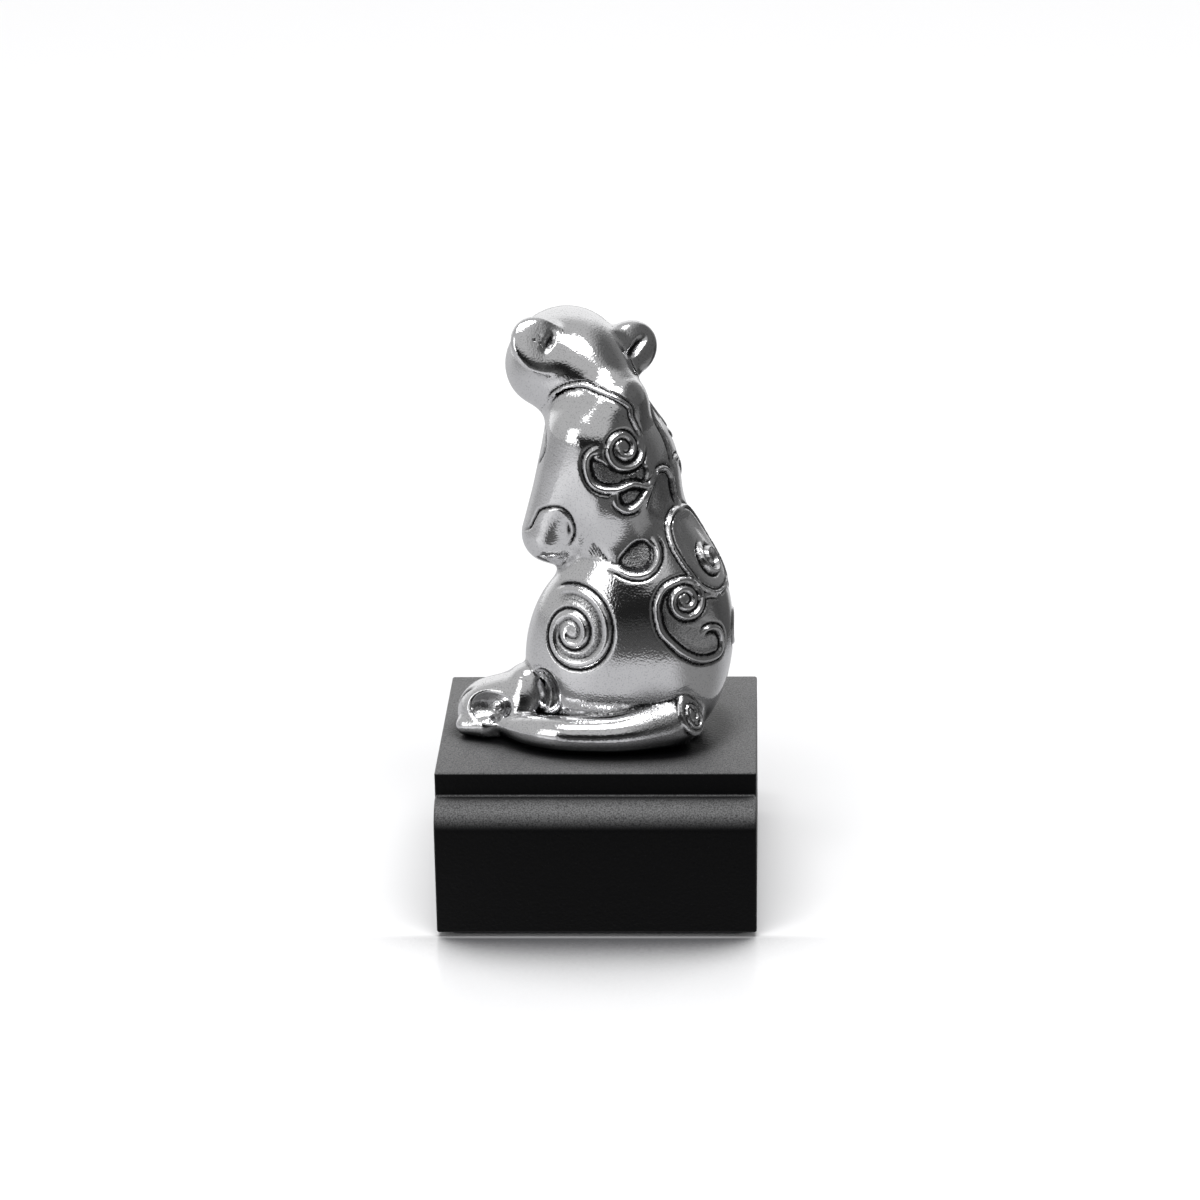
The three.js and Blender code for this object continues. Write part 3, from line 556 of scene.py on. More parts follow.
def egg(points, centre, half, axes=FIGURE_AXES):
    """Distance to an egg-shaped mass, near enough for skinning."""
    local = (points - centre) @ np.asarray(axes).T
    half = np.asarray(half, float)
    inner = np.linalg.norm(local / half, axis=1)
    slope = np.linalg.norm(local / (half * half), axis=1)
    return inner * (inner - 1) / np.maximum(slope, 1e-9)


def limb(points, start, end, start_radius, end_radius):
    """Distance to a round limb that tapers from one place to another."""
    along = end - start
    share = np.clip((points - start) @ along / (along @ along), 0, 1)
    off = np.linalg.norm(points - start - share[:, None] * along, axis=1)
    return off - (start_radius + (end_radius - start_radius) * share)


def ball(points, centre, radius):
    return np.linalg.norm(points - centre, axis=1) - radius


def body_mass(points):
    mass = egg(points, spot_on_figure(*RUMP["at"]), RUMP["half"])
    chest_axes = leant(FIGURE_AXES, LEFT, CHEST["lean"])
    chest = egg(points, spot_on_figure(*CHEST["at"]), CHEST["half"], chest_axes)
    mass = blended(mass, chest, CHEST_FILLET)
    neck = limb(points, spot_on_figure(*NECK["root"]), spot_on_figure(*NECK["top"]), *NECK["radii"])
    mass = blended(mass, neck, NECK_FILLET)
    haunch_axes = leant(FIGURE_AXES, LEFT, HAUNCH["lean"])
    for side in SIDES.values():
        haunch = egg(points, spot_on_figure(*on_side(HAUNCH["at"], side)), HAUNCH["half"], haunch_axes)
        mass = blended(mass, haunch, HAUNCH_FILLET)
        rib_cage = egg(points, spot_on_figure(*on_side(RIBS["at"], side)), RIBS["half"])
        mass = blended(mass, rib_cage, RIBS_FILLET)
        shoulder = spot_on_figure(*on_side(SHOULDER, side))
        elbow = spot_on_figure(*on_side(ELBOW, side))
        mass = blended(mass, limb(points, shoulder, elbow, *ARM_RADII), ARM_FILLET)
    mass = blended(mass, egg(points, spot_on_figure(*BLADE["at"]), BLADE["half"]), RIBS_FILLET)
    pocket = egg(points, spot_on_figure(*POCKET["at"]), POCKET["half"])
    return hollowed(mass, pocket, POCKET_FILLET)


# Head: a separate pewter casting pegged and soldered on the neck, turned to the animal's right
# with its nose a little raised and one ear lower than the other.
HEAD_AT = spot_on_figure(7.7, -0.5, 59.7)
HEAD_TURN = math.radians(62)
HEAD_ROLL = 11
HEAD_NOD = -6
SKULL = {"at": (1.8, 0.3, -0.5), "half": (7.4, 7.8, 7.2)}
NAPE = {"top": (1.6, -0.7, -0.5), "root": (-0.3, 2.4, 54.2), "radii": (6.3, 4.6)}
NAPE_FILLET = 3.5
CHEEK = {"at": (4.2, 3.6, -3.6), "half": (6.5, 4.8, 5.2)}
CHEEK_FILLET = 4
MUZZLE = {"root": (6, 0, -1.5), "nose": (15.5, 0, -3.2), "radii": (5.4, 2.3)}
MUZZLE_FILLET = 5
NOSE_BUTTON = {"at": (17.0, 0, -2.5), "half": (1.3, 1.7, 1.2)}
NOSE_FILLET = 0.6
EYE = {"at": (9.6, 4.0, 1.3), "radius": 1.4}
EYE_SOCKET = {"at": (9.9, 4.5, 1.4), "radius": 1.8}
EYE_FILLET = 0.35
SOCKET_FILLET = 1.2

head_ahead = np.array([-math.cos(HEAD_TURN), math.sin(HEAD_TURN), 0])
head_left = np.array([-math.sin(HEAD_TURN), -math.cos(HEAD_TURN), 0])
HEAD_AXES = leant(np.array([head_ahead, head_left, UP]), head_ahead, HEAD_ROLL)
HEAD_AXES = leant(HEAD_AXES, HEAD_AXES[1], HEAD_NOD)


def spot_on_head(reach, side, height):
    return HEAD_AT + np.array([reach, side, height]) @ HEAD_AXES


def head_mass(points):
    mass = egg(points, spot_on_head(*SKULL["at"]), SKULL["half"], HEAD_AXES)
    nape = limb(points, spot_on_head(*NAPE["top"]), spot_on_figure(*NAPE["root"]), *NAPE["radii"])
    mass = blended(mass, nape, NAPE_FILLET)
    for side in SIDES.values():
        cheek = egg(points, spot_on_head(*on_side(CHEEK["at"], side)), CHEEK["half"], HEAD_AXES)
        mass = blended(mass, cheek, CHEEK_FILLET)
    muzzle = limb(points, spot_on_head(*MUZZLE["root"]), spot_on_head(*MUZZLE["nose"]), *MUZZLE["radii"])
    mass = blended(mass, muzzle, MUZZLE_FILLET)
    nose = egg(points, spot_on_head(*NOSE_BUTTON["at"]), NOSE_BUTTON["half"], HEAD_AXES)
    mass = blended(mass, nose, NOSE_FILLET)
    for side in SIDES.values():
        socket = ball(points, spot_on_head(*on_side(EYE_SOCKET["at"], side)), EYE_SOCKET["radius"])
        mass = hollowed(mass, socket, SOCKET_FILLET)
        eye = ball(points, spot_on_head(*on_side(EYE["at"], side)), EYE["radius"])
        mass = blended(mass, eye, EYE_FILLET)
    return mass


# Ears: two cupped castings with flattened backs, soldered to the skull with their hollow side facing
# the way the head looks. The solder is dressed to a smooth saddle.
EAR_AT = {"left": (-1.8, 7.7, 2.3), "right": (-2.2, 7.7, 2.7)}
EAR_HALF = (1.9, 4.2, 4.8)
EAR_FACING = {"left": (0.86, -0.22, -0.46), "right": (0.89, 0.16, -0.43)}
EAR_TIP = (0, 0.70, 0.70)
CUP_REACH = 1.7
CUP_HALF = (2.2, 3.1, 3.9)
CUP_FILLET = 0.6
EAR_BACK = {"left": 1.1, "right": 1.5}
BACK_FILLET = 0.9


def ear_mass(points, name):
    side = SIDES[name]
    centre = spot_on_head(*on_side(EAR_AT[name], side))
    face = unit(np.array(on_side(EAR_FACING[name], side)) @ HEAD_AXES)
    tip = np.array(on_side(EAR_TIP, side)) @ HEAD_AXES
    tip = unit(tip - face * (tip @ face))
    axes = np.array([face, np.cross(face, tip), tip])
    leaf = egg(points, centre, EAR_HALF, axes)
    leaf = hollowed(leaf, EAR_BACK[name] + (points - centre) @ face, BACK_FILLET)
    cup = egg(points, centre + face * CUP_REACH, CUP_HALF, axes)
    return hollowed(leaf, cup, CUP_FILLET)


# Forelegs: forearm and paw, cast apart and soldered at the elbow, held in front of the chest.
# The body hides them from the front of the block.
WRIST = (12.2, 3.0, 33.2)
FOREARM_RADII = (4.2, 2.4)
PAW = {"at": (12.6, 2.5, 35.2), "half": (2.3, 2.1, 3.2)}
PAW_FILLET = 1.2


def foreleg_mass(points, side):
    elbow = spot_on_figure(*on_side(ELBOW, side))
    wrist = spot_on_figure(*on_side(WRIST, side))
    paw = egg(points, spot_on_figure(*on_side(PAW["at"], side)), PAW["half"])
    return blended(limb(points, elbow, wrist, *FOREARM_RADII), paw, PAW_FILLET)


# Hind feet: full rounded castings, flat on the block, soldered under the haunches. Each has its ankle
# as a band at the back and a dish with a knob in its outer side. The right one is set further back.
ANKLE = (13.4, 8.4, 6.0)
INSTEP = (18.4, 9.6, 4.0)
FOOT_RADII = (4.6, 4.2)
PAD = {"at": (18.9, 10.6, 3.0), "half": (5.4, 4.7, 5.0)}
PAD_FILLET = 2.0
ANKLE_BAND = {"foot": (12.6, 12.1, 4.2), "top": (12.6, 9.8, 9.4), "radii": (1.6, 1.9)}
BAND_FILLET = 3.0
FOOT_DISH = {"at": (17.3, 14.7, 5.8), "half": (3.7, 2.1, 3.1)}
DISH_FILLET = 0.5
KNOB = {"at": (16.5, 13.4, 5.4), "radius": 0.9}
KNOB_FILLET = 0.4
TOE_ROOT = (18.4, 1.9)
TOE_ROOT_SPREAD = 3.1
TOE_TIP = (22.6, 1.7)
TOE_TIP_SPREAD = 3.0
TOE_TIP_SHIFT = 0.3
OUTER_TOE_SETBACK = 0.9
TOE_RADII = (2.0, 1.7)
TOE_FILLET = 0.6
FOOT_SETBACK = {"left": 0, "right": 4.6}
FOOT_INSET = {"left": 0, "right": 2.2}


def spot_on_foot(name, reach, spread, height):
    return spot_on_figure(reach - FOOT_SETBACK[name], (spread - FOOT_INSET[name]) * SIDES[name], height)


def foot_mass(points, name):
    def placed(reach, spread, height):
        return spot_on_foot(name, reach, spread, height)

    mass = limb(points, placed(*ANKLE), placed(*INSTEP), *FOOT_RADII)
    mass = blended(mass, egg(points, placed(*PAD["at"]), PAD["half"]), PAD_FILLET)
    band = limb(points, placed(*ANKLE_BAND["foot"]), placed(*ANKLE_BAND["top"]), *ANKLE_BAND["radii"])
    mass = blended(mass, band, BAND_FILLET)
    mass = hollowed(mass, egg(points, placed(*FOOT_DISH["at"]), FOOT_DISH["half"]), DISH_FILLET)
    mass = blended(mass, ball(points, placed(*KNOB["at"]), KNOB["radius"]), KNOB_FILLET)
    middle = PAD["at"][1]
    for toe in (-1, 0, 1):
        root = placed(TOE_ROOT[0], middle + TOE_ROOT_SPREAD * toe, TOE_ROOT[1])
        reach = TOE_TIP[0] - OUTER_TOE_SETBACK * abs(toe)
        tip = placed(reach, middle + TOE_TIP_SHIFT + TOE_TIP_SPREAD * toe, TOE_TIP[1])
        mass = blended(mass, limb(points, root, tip, *TOE_RADII), TOE_FILLET)
    return mass


# Tail: a round tapering casting that leaves the rump at the back, lies on the block round the left
# side and ends under the left foot, with an oval scroll plate at its root. Its path is in places
# ahead and left of the seat, each with the radius.
TAIL_PATH = (
    (-9.5, 2.5, 4.6), (-10.6, 6.8, 4.5), (-7.6, 10.0, 3.72), (-3.9, 12.4, 3.12), (0.5, 14.0, 2.9),
    (5.4, 15.0, 2.8), (10.0, 14.6, 2.55), (14.4, 12.8, 2.2),
)
TAIL_STEPS = 9
TAIL_REACH_UP = 14


def smooth_path(places, steps, closed=False):
    """A curve through the given places, with this many steps between each two."""
    places = np.asarray(places, float)
    if closed:
        padded = np.concatenate([places[-1:], places, places[:2]])
    else:
        padded = np.concatenate([2 * places[:1] - places[1:2], places, 2 * places[-1:] - places[-2:-1]])
    share = np.linspace(0, 1, steps, endpoint=False)[:, None]
    curve = []
    for start in range(len(padded) - 3):
        before, first, second, after = padded[start:start + 4]
        line = second - before
        bend = 2 * before - 5 * first + 4 * second - after
        twist = 3 * first - before - 3 * second + after
        curve.append(first + share / 2 * (line + share * (bend + share * twist)))
    ending = padded[1:2] if closed else places[-1:]
    return np.concatenate(curve + [ending])


tail_stations = smooth_path(TAIL_PATH, TAIL_STEPS)

SCROLL_AT = spot_on_figure(-14.2, 8.3, 6.0)
SCROLL_HALF = (0.9, 2.3, 3.5)
SCROLL_FACING = (-0.83, 0.37, 0.38)
SCROLL_LEAN = 9
SCROLL_FILLET = 0.3
scroll_face = unit(np.array(SCROLL_FACING) @ FIGURE_AXES)
scroll_across = unit(np.cross(UP, scroll_face))
SCROLL_AXES = np.array([scroll_face, scroll_across, np.cross(scroll_face, scroll_across)])
SCROLL_AXES = leant(SCROLL_AXES, scroll_face, SCROLL_LEAN)


def tail_mass(points):
    mass = np.full(len(points), TAIL_REACH_UP, float)
    low = points[:, 2] < BLOCK_TOP + TAIL_REACH_UP
    near = points[low]
    if not len(near):
        return mass
    nearest = mass[low]
    for first, second in zip(tail_stations[:-1], tail_stations[1:]):
        start = spot_on_figure(*first)
        end = spot_on_figure(*second)
        nearest = np.minimum(nearest, limb(near, start, end, first[2], second[2]))
    plate = egg(near, SCROLL_AT, SCROLL_HALF, SCROLL_AXES)
    mass[low] = blended(nearest, plate, SCROLL_FILLET)
    return mass


# The rat's skin: the castings are soldered and dressed into one smooth figure, so they are skinned
# together here and cut apart along the solder lines afterwards.
HEAD_SOLDER = 3.0
EAR_SOLDER = 1.5
FORELEG_SOLDER = 1.0
FOOT_SOLDER = 0.8
TAIL_SOLDER = 0.5
GROUND_EDGE = 0.3
SKIN_LOW = np.array([-23.0, -16.0, BLOCK_TOP - 1.0])
SKIN_HIGH = np.array([22.5, 22.0, BLOCK_TOP + 69.0])
SKIN_PITCH = 0.52
SKIP = 4
SKIP_REACH = 2.6
PROBE = 0.03
LEAST_STEEPNESS = 0.05
SETTLE_ROUNDS = 2
EVEN_SHARE = 0.5

PIECES = ("body_casting", "head_casting", "left_ear", "right_ear", "left_foreleg", "right_foreleg",
          "left_hind_foot", "right_hind_foot", "tail")


def piece_masses(points):
    masses = [body_mass(points), head_mass(points)]
    masses += [ear_mass(points, name) for name in SIDES]
    masses += [foreleg_mass(points, side) for side in SIDES.values()]
    masses += [foot_mass(points, name) for name in SIDES]
    masses.append(tail_mass(points))
    return masses


def rat_mass(points):
    masses = piece_masses(points)
    solders = (HEAD_SOLDER, EAR_SOLDER, EAR_SOLDER, FORELEG_SOLDER, FORELEG_SOLDER,
               FOOT_SOLDER, FOOT_SOLDER, TAIL_SOLDER)
    whole = masses[0]
    for mass, solder in zip(masses[1:], solders):
        whole = blended(whole, mass, solder)
    return hollowed(whole, points[:, 2] - BLOCK_TOP, GROUND_EDGE)


def outward(points):
    """The mass at each point and the direction out of it, with its slope."""
    corners = np.array([(1, -1, -1), (-1, -1, 1), (-1, 1, -1), (1, 1, 1)], float)
    slope = np.zeros_like(points)
    level = np.zeros(len(points))
    for corner in corners:
        value = rat_mass(points + corner * PROBE)
        slope += value[:, None] * corner
        level += value / 4
    return level, slope / (4 * PROBE)


def settled(points, rounds):
    """Points moved on to the skin."""
    for _ in range(rounds):
        level, slope = outward(points)
        points = points - slope * (level / np.maximum((slope * slope).sum(1), LEAST_STEEPNESS))[:, None]
    return points


def net_over_mass():
    """A net of four-sided faces round the mass, one knot in each small cube that the skin crosses."""
    ticks = [np.arange(low, high, SKIN_PITCH) for low, high in zip(SKIN_LOW, SKIN_HIGH)]
    counts = np.array([len(tick) for tick in ticks])
    coarse = np.stack(np.meshgrid(*[tick[::SKIP] for tick in ticks], indexing="ij"), -1)
    values = rat_mass(coarse.reshape(-1, 3)).reshape(coarse.shape[:3])
    for axis in range(3):
        values = np.repeat(values, SKIP, axis)
    values = values[:counts[0], :counts[1], :counts[2]].copy()
    close = np.argwhere(np.abs(values) < SKIP_REACH)
    places = np.stack([ticks[axis][close[:, axis]] for axis in range(3)], 1)
    values[tuple(close.T)] = rat_mass(places)
    knots = []
    crossings = []
    rings = []
    for axis in range(3):
        lower = np.moveaxis(np.moveaxis(values, axis, 0)[:-1], 0, axis)
        upper = np.moveaxis(np.moveaxis(values, axis, 0)[1:], 0, axis)
        cells = np.argwhere((lower < 0) != (upper < 0))
        first = lower[tuple(cells.T)]
        second = upper[tuple(cells.T)]
        place = cells.astype(float)
        place[:, axis] += first / (first - second)
        ring = []
        for across, along in ((0, 0), (-1, 0), (-1, -1), (0, -1)):
            corner = cells.copy()
            corner[:, (axis + 1) % 3] += across
            corner[:, (axis + 2) % 3] += along
            ring.append(np.ravel_multi_index(tuple(corner.T), counts))
            knots.append(ring[-1])
            crossings.append(place)
        ring = np.stack(ring, 1)
        rings.append(np.where((first < 0)[:, None], ring, ring[:, ::-1]))
    names, index = np.unique(np.concatenate(knots), return_inverse=True)
    crossings = np.concatenate(crossings)
    share = np.bincount(index)
    centres = [np.bincount(index, crossings[:, axis]) / share for axis in range(3)]
    points = SKIN_LOW + SKIN_PITCH * np.stack(centres, 1)
    return points, np.searchsorted(names, np.concatenate(rings))


def edges_of(quads):
    pairs = np.stack([quads, np.roll(quads, -1, 1)], 2).reshape(-1, 2)
    low = pairs.min(1).astype(np.int64)
    high = pairs.max(1).astype(np.int64)
    span = int(quads.max()) + 1
    keys, index = np.unique(low * span + high, return_inverse=True)
    return np.stack([keys // span, keys % span], 1), index.reshape(-1, 4)


def neighbours_of(quads):
    edges, _ = edges_of(quads)
    return np.concatenate([edges[:, 0], edges[:, 1]]), np.concatenate([edges[:, 1], edges[:, 0]])


def between_neighbours(points, ends, others):
    """The middle of each point's neighbours."""
    count = np.bincount(ends, minlength=len(points))
    middle = [np.bincount(ends, points[others, axis], len(points)) / count for axis in range(3)]
    return np.stack(middle, 1)


def evened(points, quads):
    """Points drawn part of the way to the middle of their neighbours."""
    return points + EVEN_SHARE * (between_neighbours(points, *neighbours_of(quads)) - points)


def split_in_four(points, quads):
    edges, index = edges_of(quads)
    middles = points[edges].mean(1)
    centres = points[quads].mean(1)
    mid = index + len(points)
    hub = np.arange(len(quads)) + len(points) + len(edges)
    finer = [np.stack([quads[:, side], mid[:, side], hub, mid[:, side - 1]], 1) for side in range(4)]
    return np.concatenate([points, middles, centres]), np.concatenate(finer)


def point_normals(points, quads):
    """Outward directions at the points, from the faces round each."""
    face = np.cross(points[quads[:, 2]] - points[quads[:, 0]], points[quads[:, 3]] - points[quads[:, 1]])
    corner = quads.ravel()
    heavy = np.repeat(face, 4, axis=0)
    total = np.stack([np.bincount(corner, heavy[:, axis], len(points)) for axis in range(3)], 1)
    return total / np.maximum(np.linalg.norm(total, axis=1, keepdims=True), 1e-12)


skin, quads = net_over_mass()
skin = settled(evened(skin, quads), SETTLE_ROUNDS)
skin, quads = split_in_four(skin, quads)
skin = settled(evened(skin, quads), SETTLE_ROUNDS)
skin_normals = point_normals(skin, quads)

# Scrollwork: spirals, ribs, grooves and sunk stippled fields cast into the skin and touched up with
# a graver. Places are degrees round the body, from the front of the block towards its right, and mm
# above the block. The ears' creases and the toes' grooves are given on the head and the feet.
AXIS_HEIGHTS = (0, 16, 36, 56)
AXIS_REACHES = (-4.1, -4.1, 0.6, 6.0)
CAST_FROM = 34.0
CAST_ROUNDS = 70
CAST_STEP = 0.8
MIDLINE = 70
PATH_STEPS = 14
SPIRAL_STEP = math.radians(6)
LINE_REACH = 2.4
LINE_ROUNDS = 4
TOE_GROOVE_ROUNDS = 6
END_ROUND = 0.05

HAUNCH_SPIRAL = {
    "at": (-50, 19.2), "start": 125, "turns": -2.0,
    "radii": ((0, 7.2), (0.16, 6.3), (0.29, 5.2), (0.42, 3.3), (0.56, 2.8), (0.78, 2.0), (1, 0.4)),
}
SHOULDER_SPIRAL = {"at": (24, 48.7), "start": 8, "turns": -1.7, "radii": ((0, 3.6), (1, 0.5))}
LOBE_SPIRAL = {"at": (72, 29.4), "start": 90, "turns": 1.7, "radii": ((0, 2.9), (1, 0.4))}
VOLUTE_SPIRAL = {"at": (37, 24.7), "start": 60, "turns": -1.8, "radii": ((0, 3.3), (1, 0.5))}
EAR_CREASE = {
    "left": ((-2.0, 5.9, 5.4), (-3.1, 6.6, 4.1), (-3.7, 7.3, 3.0), (-4.0, 8.2, 2.0)),
    "right": ((-5.2, 6.4, 2.0), (-3.9, 7.5, 2.8), (-3.4, 8.3, 3.8), (-3.0, 9.2, 4.7), (-2.6, 10.1, 5.5)),
}
TOE_GROOVE = ((20.2, 1.4, 7.4), (22.4, 1.5, 6.2), (23.9, 1.6, 4.2), (24.3, 1.7, 2.4), (24.0, 1.7, 0.8))
SCROLL_SPIRAL = {"start": 80, "turns": -1.9, "outer": (1.8, 2.9), "inner": (0.25, 0.4)}

SHOULDER_STEM = ((-54, 54.3), (-34, 56.4), (-15, 57.5), (5, 57.7), (27, 56.5), (38, 54.8),
                 (38, 53.2), (41, 51.4), (45, 49.2))
CRESCENT_RIM = ((6, 49.3), (-5, 48.2), (-10, 46.4), (-10, 43.9), (-3, 42.7), (10, 42.6),
                (23, 43.2), (34, 42.4), (42, 43.0), (47, 43.8))
EYE_RIM = ((7, 41.8), (6, 40.1), (13, 39.0), (23, 39.6), (33, 41.3), (37, 42.1))
LEAF = ((26, 38.6), (32, 40.6), (39, 42.3), (47, 43.8), (53, 44.3), (63, 43.8), (70, 42.0),
        (70, 39.6), (68, 37.4))
HAIR_ROOTS = ((-31, 30.9), (-28, 31.0), (-25, 30.9), (-22, 30.8), (-19, 30.6), (-16, 30.4))
HAIR_LENGTHS = (1.1, 1.6, 2.3, 2.6, 2.2, 1.5)
HAIR_LEAN = 4
SPINE_RIDGE = ((77, 54.0), (76, 50.3), (76, 46.6), (73, 43.0))
LOBE = ((68, 37.4), (56, 37.1), (46, 35.6), (42, 33.1), (43, 30.7), (46, 28.4), (50, 26.4),
        (60, 24.7), (74, 24.6), (88, 26.0), (95, 29.5), (93, 33.5), (82, 36.6))
TEAR_RIB = ((-17, 30.1), (-9, 29.5), (3, 28.7), (15, 29.0), (25, 30.5), (30, 32.5), (28, 34.6))
VOLUTE = ((49, 26.2), (46, 27.3), (38, 27.8), (26, 27.0), (18, 25.1), (15, 23.1), (15, 20.3), (20, 18.3),
          (27, 16.4), (38, 14.9), (51, 14.5), (59, 15.1), (61, 17.2), (57, 19.0), (49, 19.6), (42, 18.7))
VOLUTE_RIM = ((47, 24.7), (54, 24.7), (65, 23.9))
ELBOW_ARC = ((-71, 34.2), (-65, 35.0), (-61, 36.6), (-56, 38.2), (-47, 39.0), (-39, 38.9), (-36, 37.4),
             (-39, 35.0), (-46, 33.0), (-50, 32.3))
ELBOW_INNER_ARC = ((-43, 36.9), (-41, 36.4), (-43, 34.8), (-47, 33.5))
CHEST_ARC = ((-62, 50.6), (-51, 49.6), (-49, 47.8), (-57, 45.7), (-66, 44.4))

CRESCENT_FIELD = ((8, 46.3), (-3, 47.5), (-7, 46.2), (-7, 44.2), (-1, 43.3), (10, 43.2), (22, 43.8),
                  (33, 43.2), (39, 45.0), (33, 45.9), (21, 45.3), (13, 45.4))
EYE_FIELD = ((9, 41.6), (9, 40.3), (14, 39.7), (22, 40.2), (30, 41.4), (33, 42.0), (22, 42.6), (12, 42.1))
TEAR_FIELD = ((3, 29.5), (15, 29.9), (22, 31.2), (25, 32.8), (22, 33.9), (13, 33.8), (1, 32.2), (-7, 30.5))
LEAF_FIELD = ((42, 42.2), (35, 40.4), (33, 38.2), (44, 36.6), (56, 37.8), (67, 38.6), (68, 41.6),
              (58, 43.4), (48, 43.1))
VOLUTE_FIELD = ((25, 26.2), (19, 24.4), (17, 21.6), (21, 19.2), (28, 17.3), (38, 15.9), (50, 15.5),
                (57, 16.2), (56, 18.2), (47, 20.8), (37, 21.6), (29, 22.2), (26, 24.0))


GROOVE_HALF = 0.40
GROOVE_DEPTH = 0.34
TOE_GROOVE_HALF = 0.5
HAIR_HALF = 0.24
HAIR_DEPTH = 0.2
HAIR_TAPER = 0.7
BED_OFFSET = 2.3
BED_HALF = 1.3
CREASE_HALF = 1.0
CREASE_DEPTH = 0.7
THIN_RIB = 0.36
LEAF_RIB = 0.42
BROAD_RIB = 0.52
HAUNCH_RIB = 0.68
HAUNCH_INNER_GROOVE = 0.4
SCROLL_RIB = 0.26
RIB_HEIGHT = 0.26
RIB_GROOVE_OFFSET = 1.4
RIB_GROOVE_HALF = 0.75
RIB_GROOVE_DEPTH = 0.26
FIELD_EDGE = 0.3
FIELD_BAND = 0.6
FIELD_DEPTH = 0.45
SHALLOW_FIELD_EDGE = 2.2
SHALLOW_FIELD_DEPTH = 0.42
PLATE_EDGE = 0.8
PLATE_RISE = 0.32
PLATE_DISH_EDGE = 3.2
PLATE_DISH_DEPTH = 0.55
TAPER = 2.5
HOLLOW_ROUNDS = 24
HOLLOW_DEPTHS = (0.03, 0.16)
# The pocket by the left foot and the crook between the tail's scroll and the rump are darkened round a
# point: painted shade, added to the patina of the grooves and recesses.
POCKET_PAINTED_SHADE_REACH = 3.4
CROOK_AT = (-9.3, 10.6, 6.3)
CROOK_DARK_REACH = 6.5
PATINA_AND_SHADE_IN = {
    "groove": 0.9, "rib_groove": 0.9, "recess": 0.5, "pocket": 0.6, "crease": 0.5, "hair": 0.8,
    "bed": 0.15, "deep": 0.12, "deep_band": 0.45, "shallow_band": 0.25, "crook": 0.5,
}
STIPPLE_IN = {"shallow": 0.6, "recess": 0.5, "crook": 0.6}


def skin_under(places):
    """The skin's points at places given as degrees round the body and mm above the block."""
    places = np.asarray(places, float)
    turn = np.radians(places[:, 0])
    reach = np.interp(places[:, 1], AXIS_HEIGHTS, AXIS_REACHES)
    axis = SEAT + reach[:, None] * AHEAD + places[:, 1:2] * UP
    outward_way = np.stack([np.sin(turn), -np.cos(turn), np.zeros_like(turn)], 1)
    off = np.full(len(places), CAST_FROM)
    for _ in range(CAST_ROUNDS):
        off = off - CAST_STEP * rat_mass(axis + off[:, None] * outward_way)
    return axis + off[:, None] * outward_way


def mirrored(places):
    return tuple((2 * MIDLINE - turn, height) for turn, height in reversed(places))


def line_on_skin(places, closed=False):
    return skin_under(smooth_path(places, PATH_STEPS, closed))


def on_both_flanks(places, half):
    """A line on the left flank and its mirror image on the right, each with its half width."""
    return [(line_on_skin(places), half), (line_on_skin(mirrored(places)), half)]


def spiral_on_skin(spiral, flipped=False):
    """A spiral laid on the skin round its own middle, from its outer end inwards."""
    turn, height = spiral["at"]
    if flipped:
        turn = 2 * MIDLINE - turn
    middle = skin_under([(turn, height)])
    _, slope = outward(middle)
    normal = unit(slope[0])
    across = unit(np.cross(UP, normal))
    rise = np.cross(normal, across)
    sweep = 2 * math.pi * spiral["turns"]
    steps = int(abs(sweep) / SPIRAL_STEP)
    share = np.linspace(0, 1, steps)
    angle = math.radians(spiral["start"]) + sweep * share
    shrink = smooth_path(spiral["radii"], PATH_STEPS)
    radius = np.interp(share, shrink[:, 0], shrink[:, 1])
    sideways = radius * np.cos(angle) * (-1 if flipped else 1)
    flat = middle + sideways[:, None] * across + (radius * np.sin(angle))[:, None] * rise
    return settled(flat, LINE_ROUNDS)


def spiral_on_scroll():
    """The oval spiral on the plate at the tail's root."""
    sweep = 2 * math.pi * SCROLL_SPIRAL["turns"]
    share = np.linspace(0, 1, int(abs(sweep) / SPIRAL_STEP))[:, None]
    angle = math.radians(SCROLL_SPIRAL["start"]) + sweep * share
    outer = np.array(SCROLL_SPIRAL["outer"])
    radii = outer + (np.array(SCROLL_SPIRAL["inner"]) - outer) * share
    flat = SCROLL_AT + SCROLL_HALF[0] * SCROLL_AXES[0] + radii[:, :1] * np.cos(angle) * SCROLL_AXES[1]
    return settled(flat + radii[:, 1:] * np.sin(angle) * SCROLL_AXES[2], LINE_ROUNDS)


def distance_to_line(points, normals, line):
    """How far points lie from a line, which side of it they are on, and how far along it."""
    best = np.full(len(points), np.inf)
    side = np.ones(len(points))
    along = np.zeros(len(points))
    spans = np.linalg.norm(np.diff(line, axis=0), axis=1)
    starts = np.concatenate([[0], np.cumsum(spans)])
    for number, (first, second) in enumerate(zip(line[:-1], line[1:])):
        step = second - first
        share = np.clip((points - first) @ step / max(step @ step, 1e-12), 0, 1)
        off = points - first - share[:, None] * step
        far = np.linalg.norm(off, axis=1)
        closer = far < best
        best[closer] = far[closer]
        left = (np.cross(normals[closer], step) * off[closer]).sum(1)
        side[closer] = np.where(left >= 0, 1, -1)
        along[closer] = starts[number] + share[closer] * spans[number]
    return best, side, along, starts[-1]


def near_line(line, reach):
    low = line.min(0) - reach
    high = line.max(0) + reach
    return np.nonzero(((skin > low) & (skin < high)).all(1))[0]


def swell(value):
    """A smooth bump, 1 in the middle and 0 from 1 outwards."""
    return np.clip(1 - value * value, 0, 1) ** 2


def ramp(value):
    share = np.clip(value, 0, 1)
    return share * share * (3 - 2 * share)


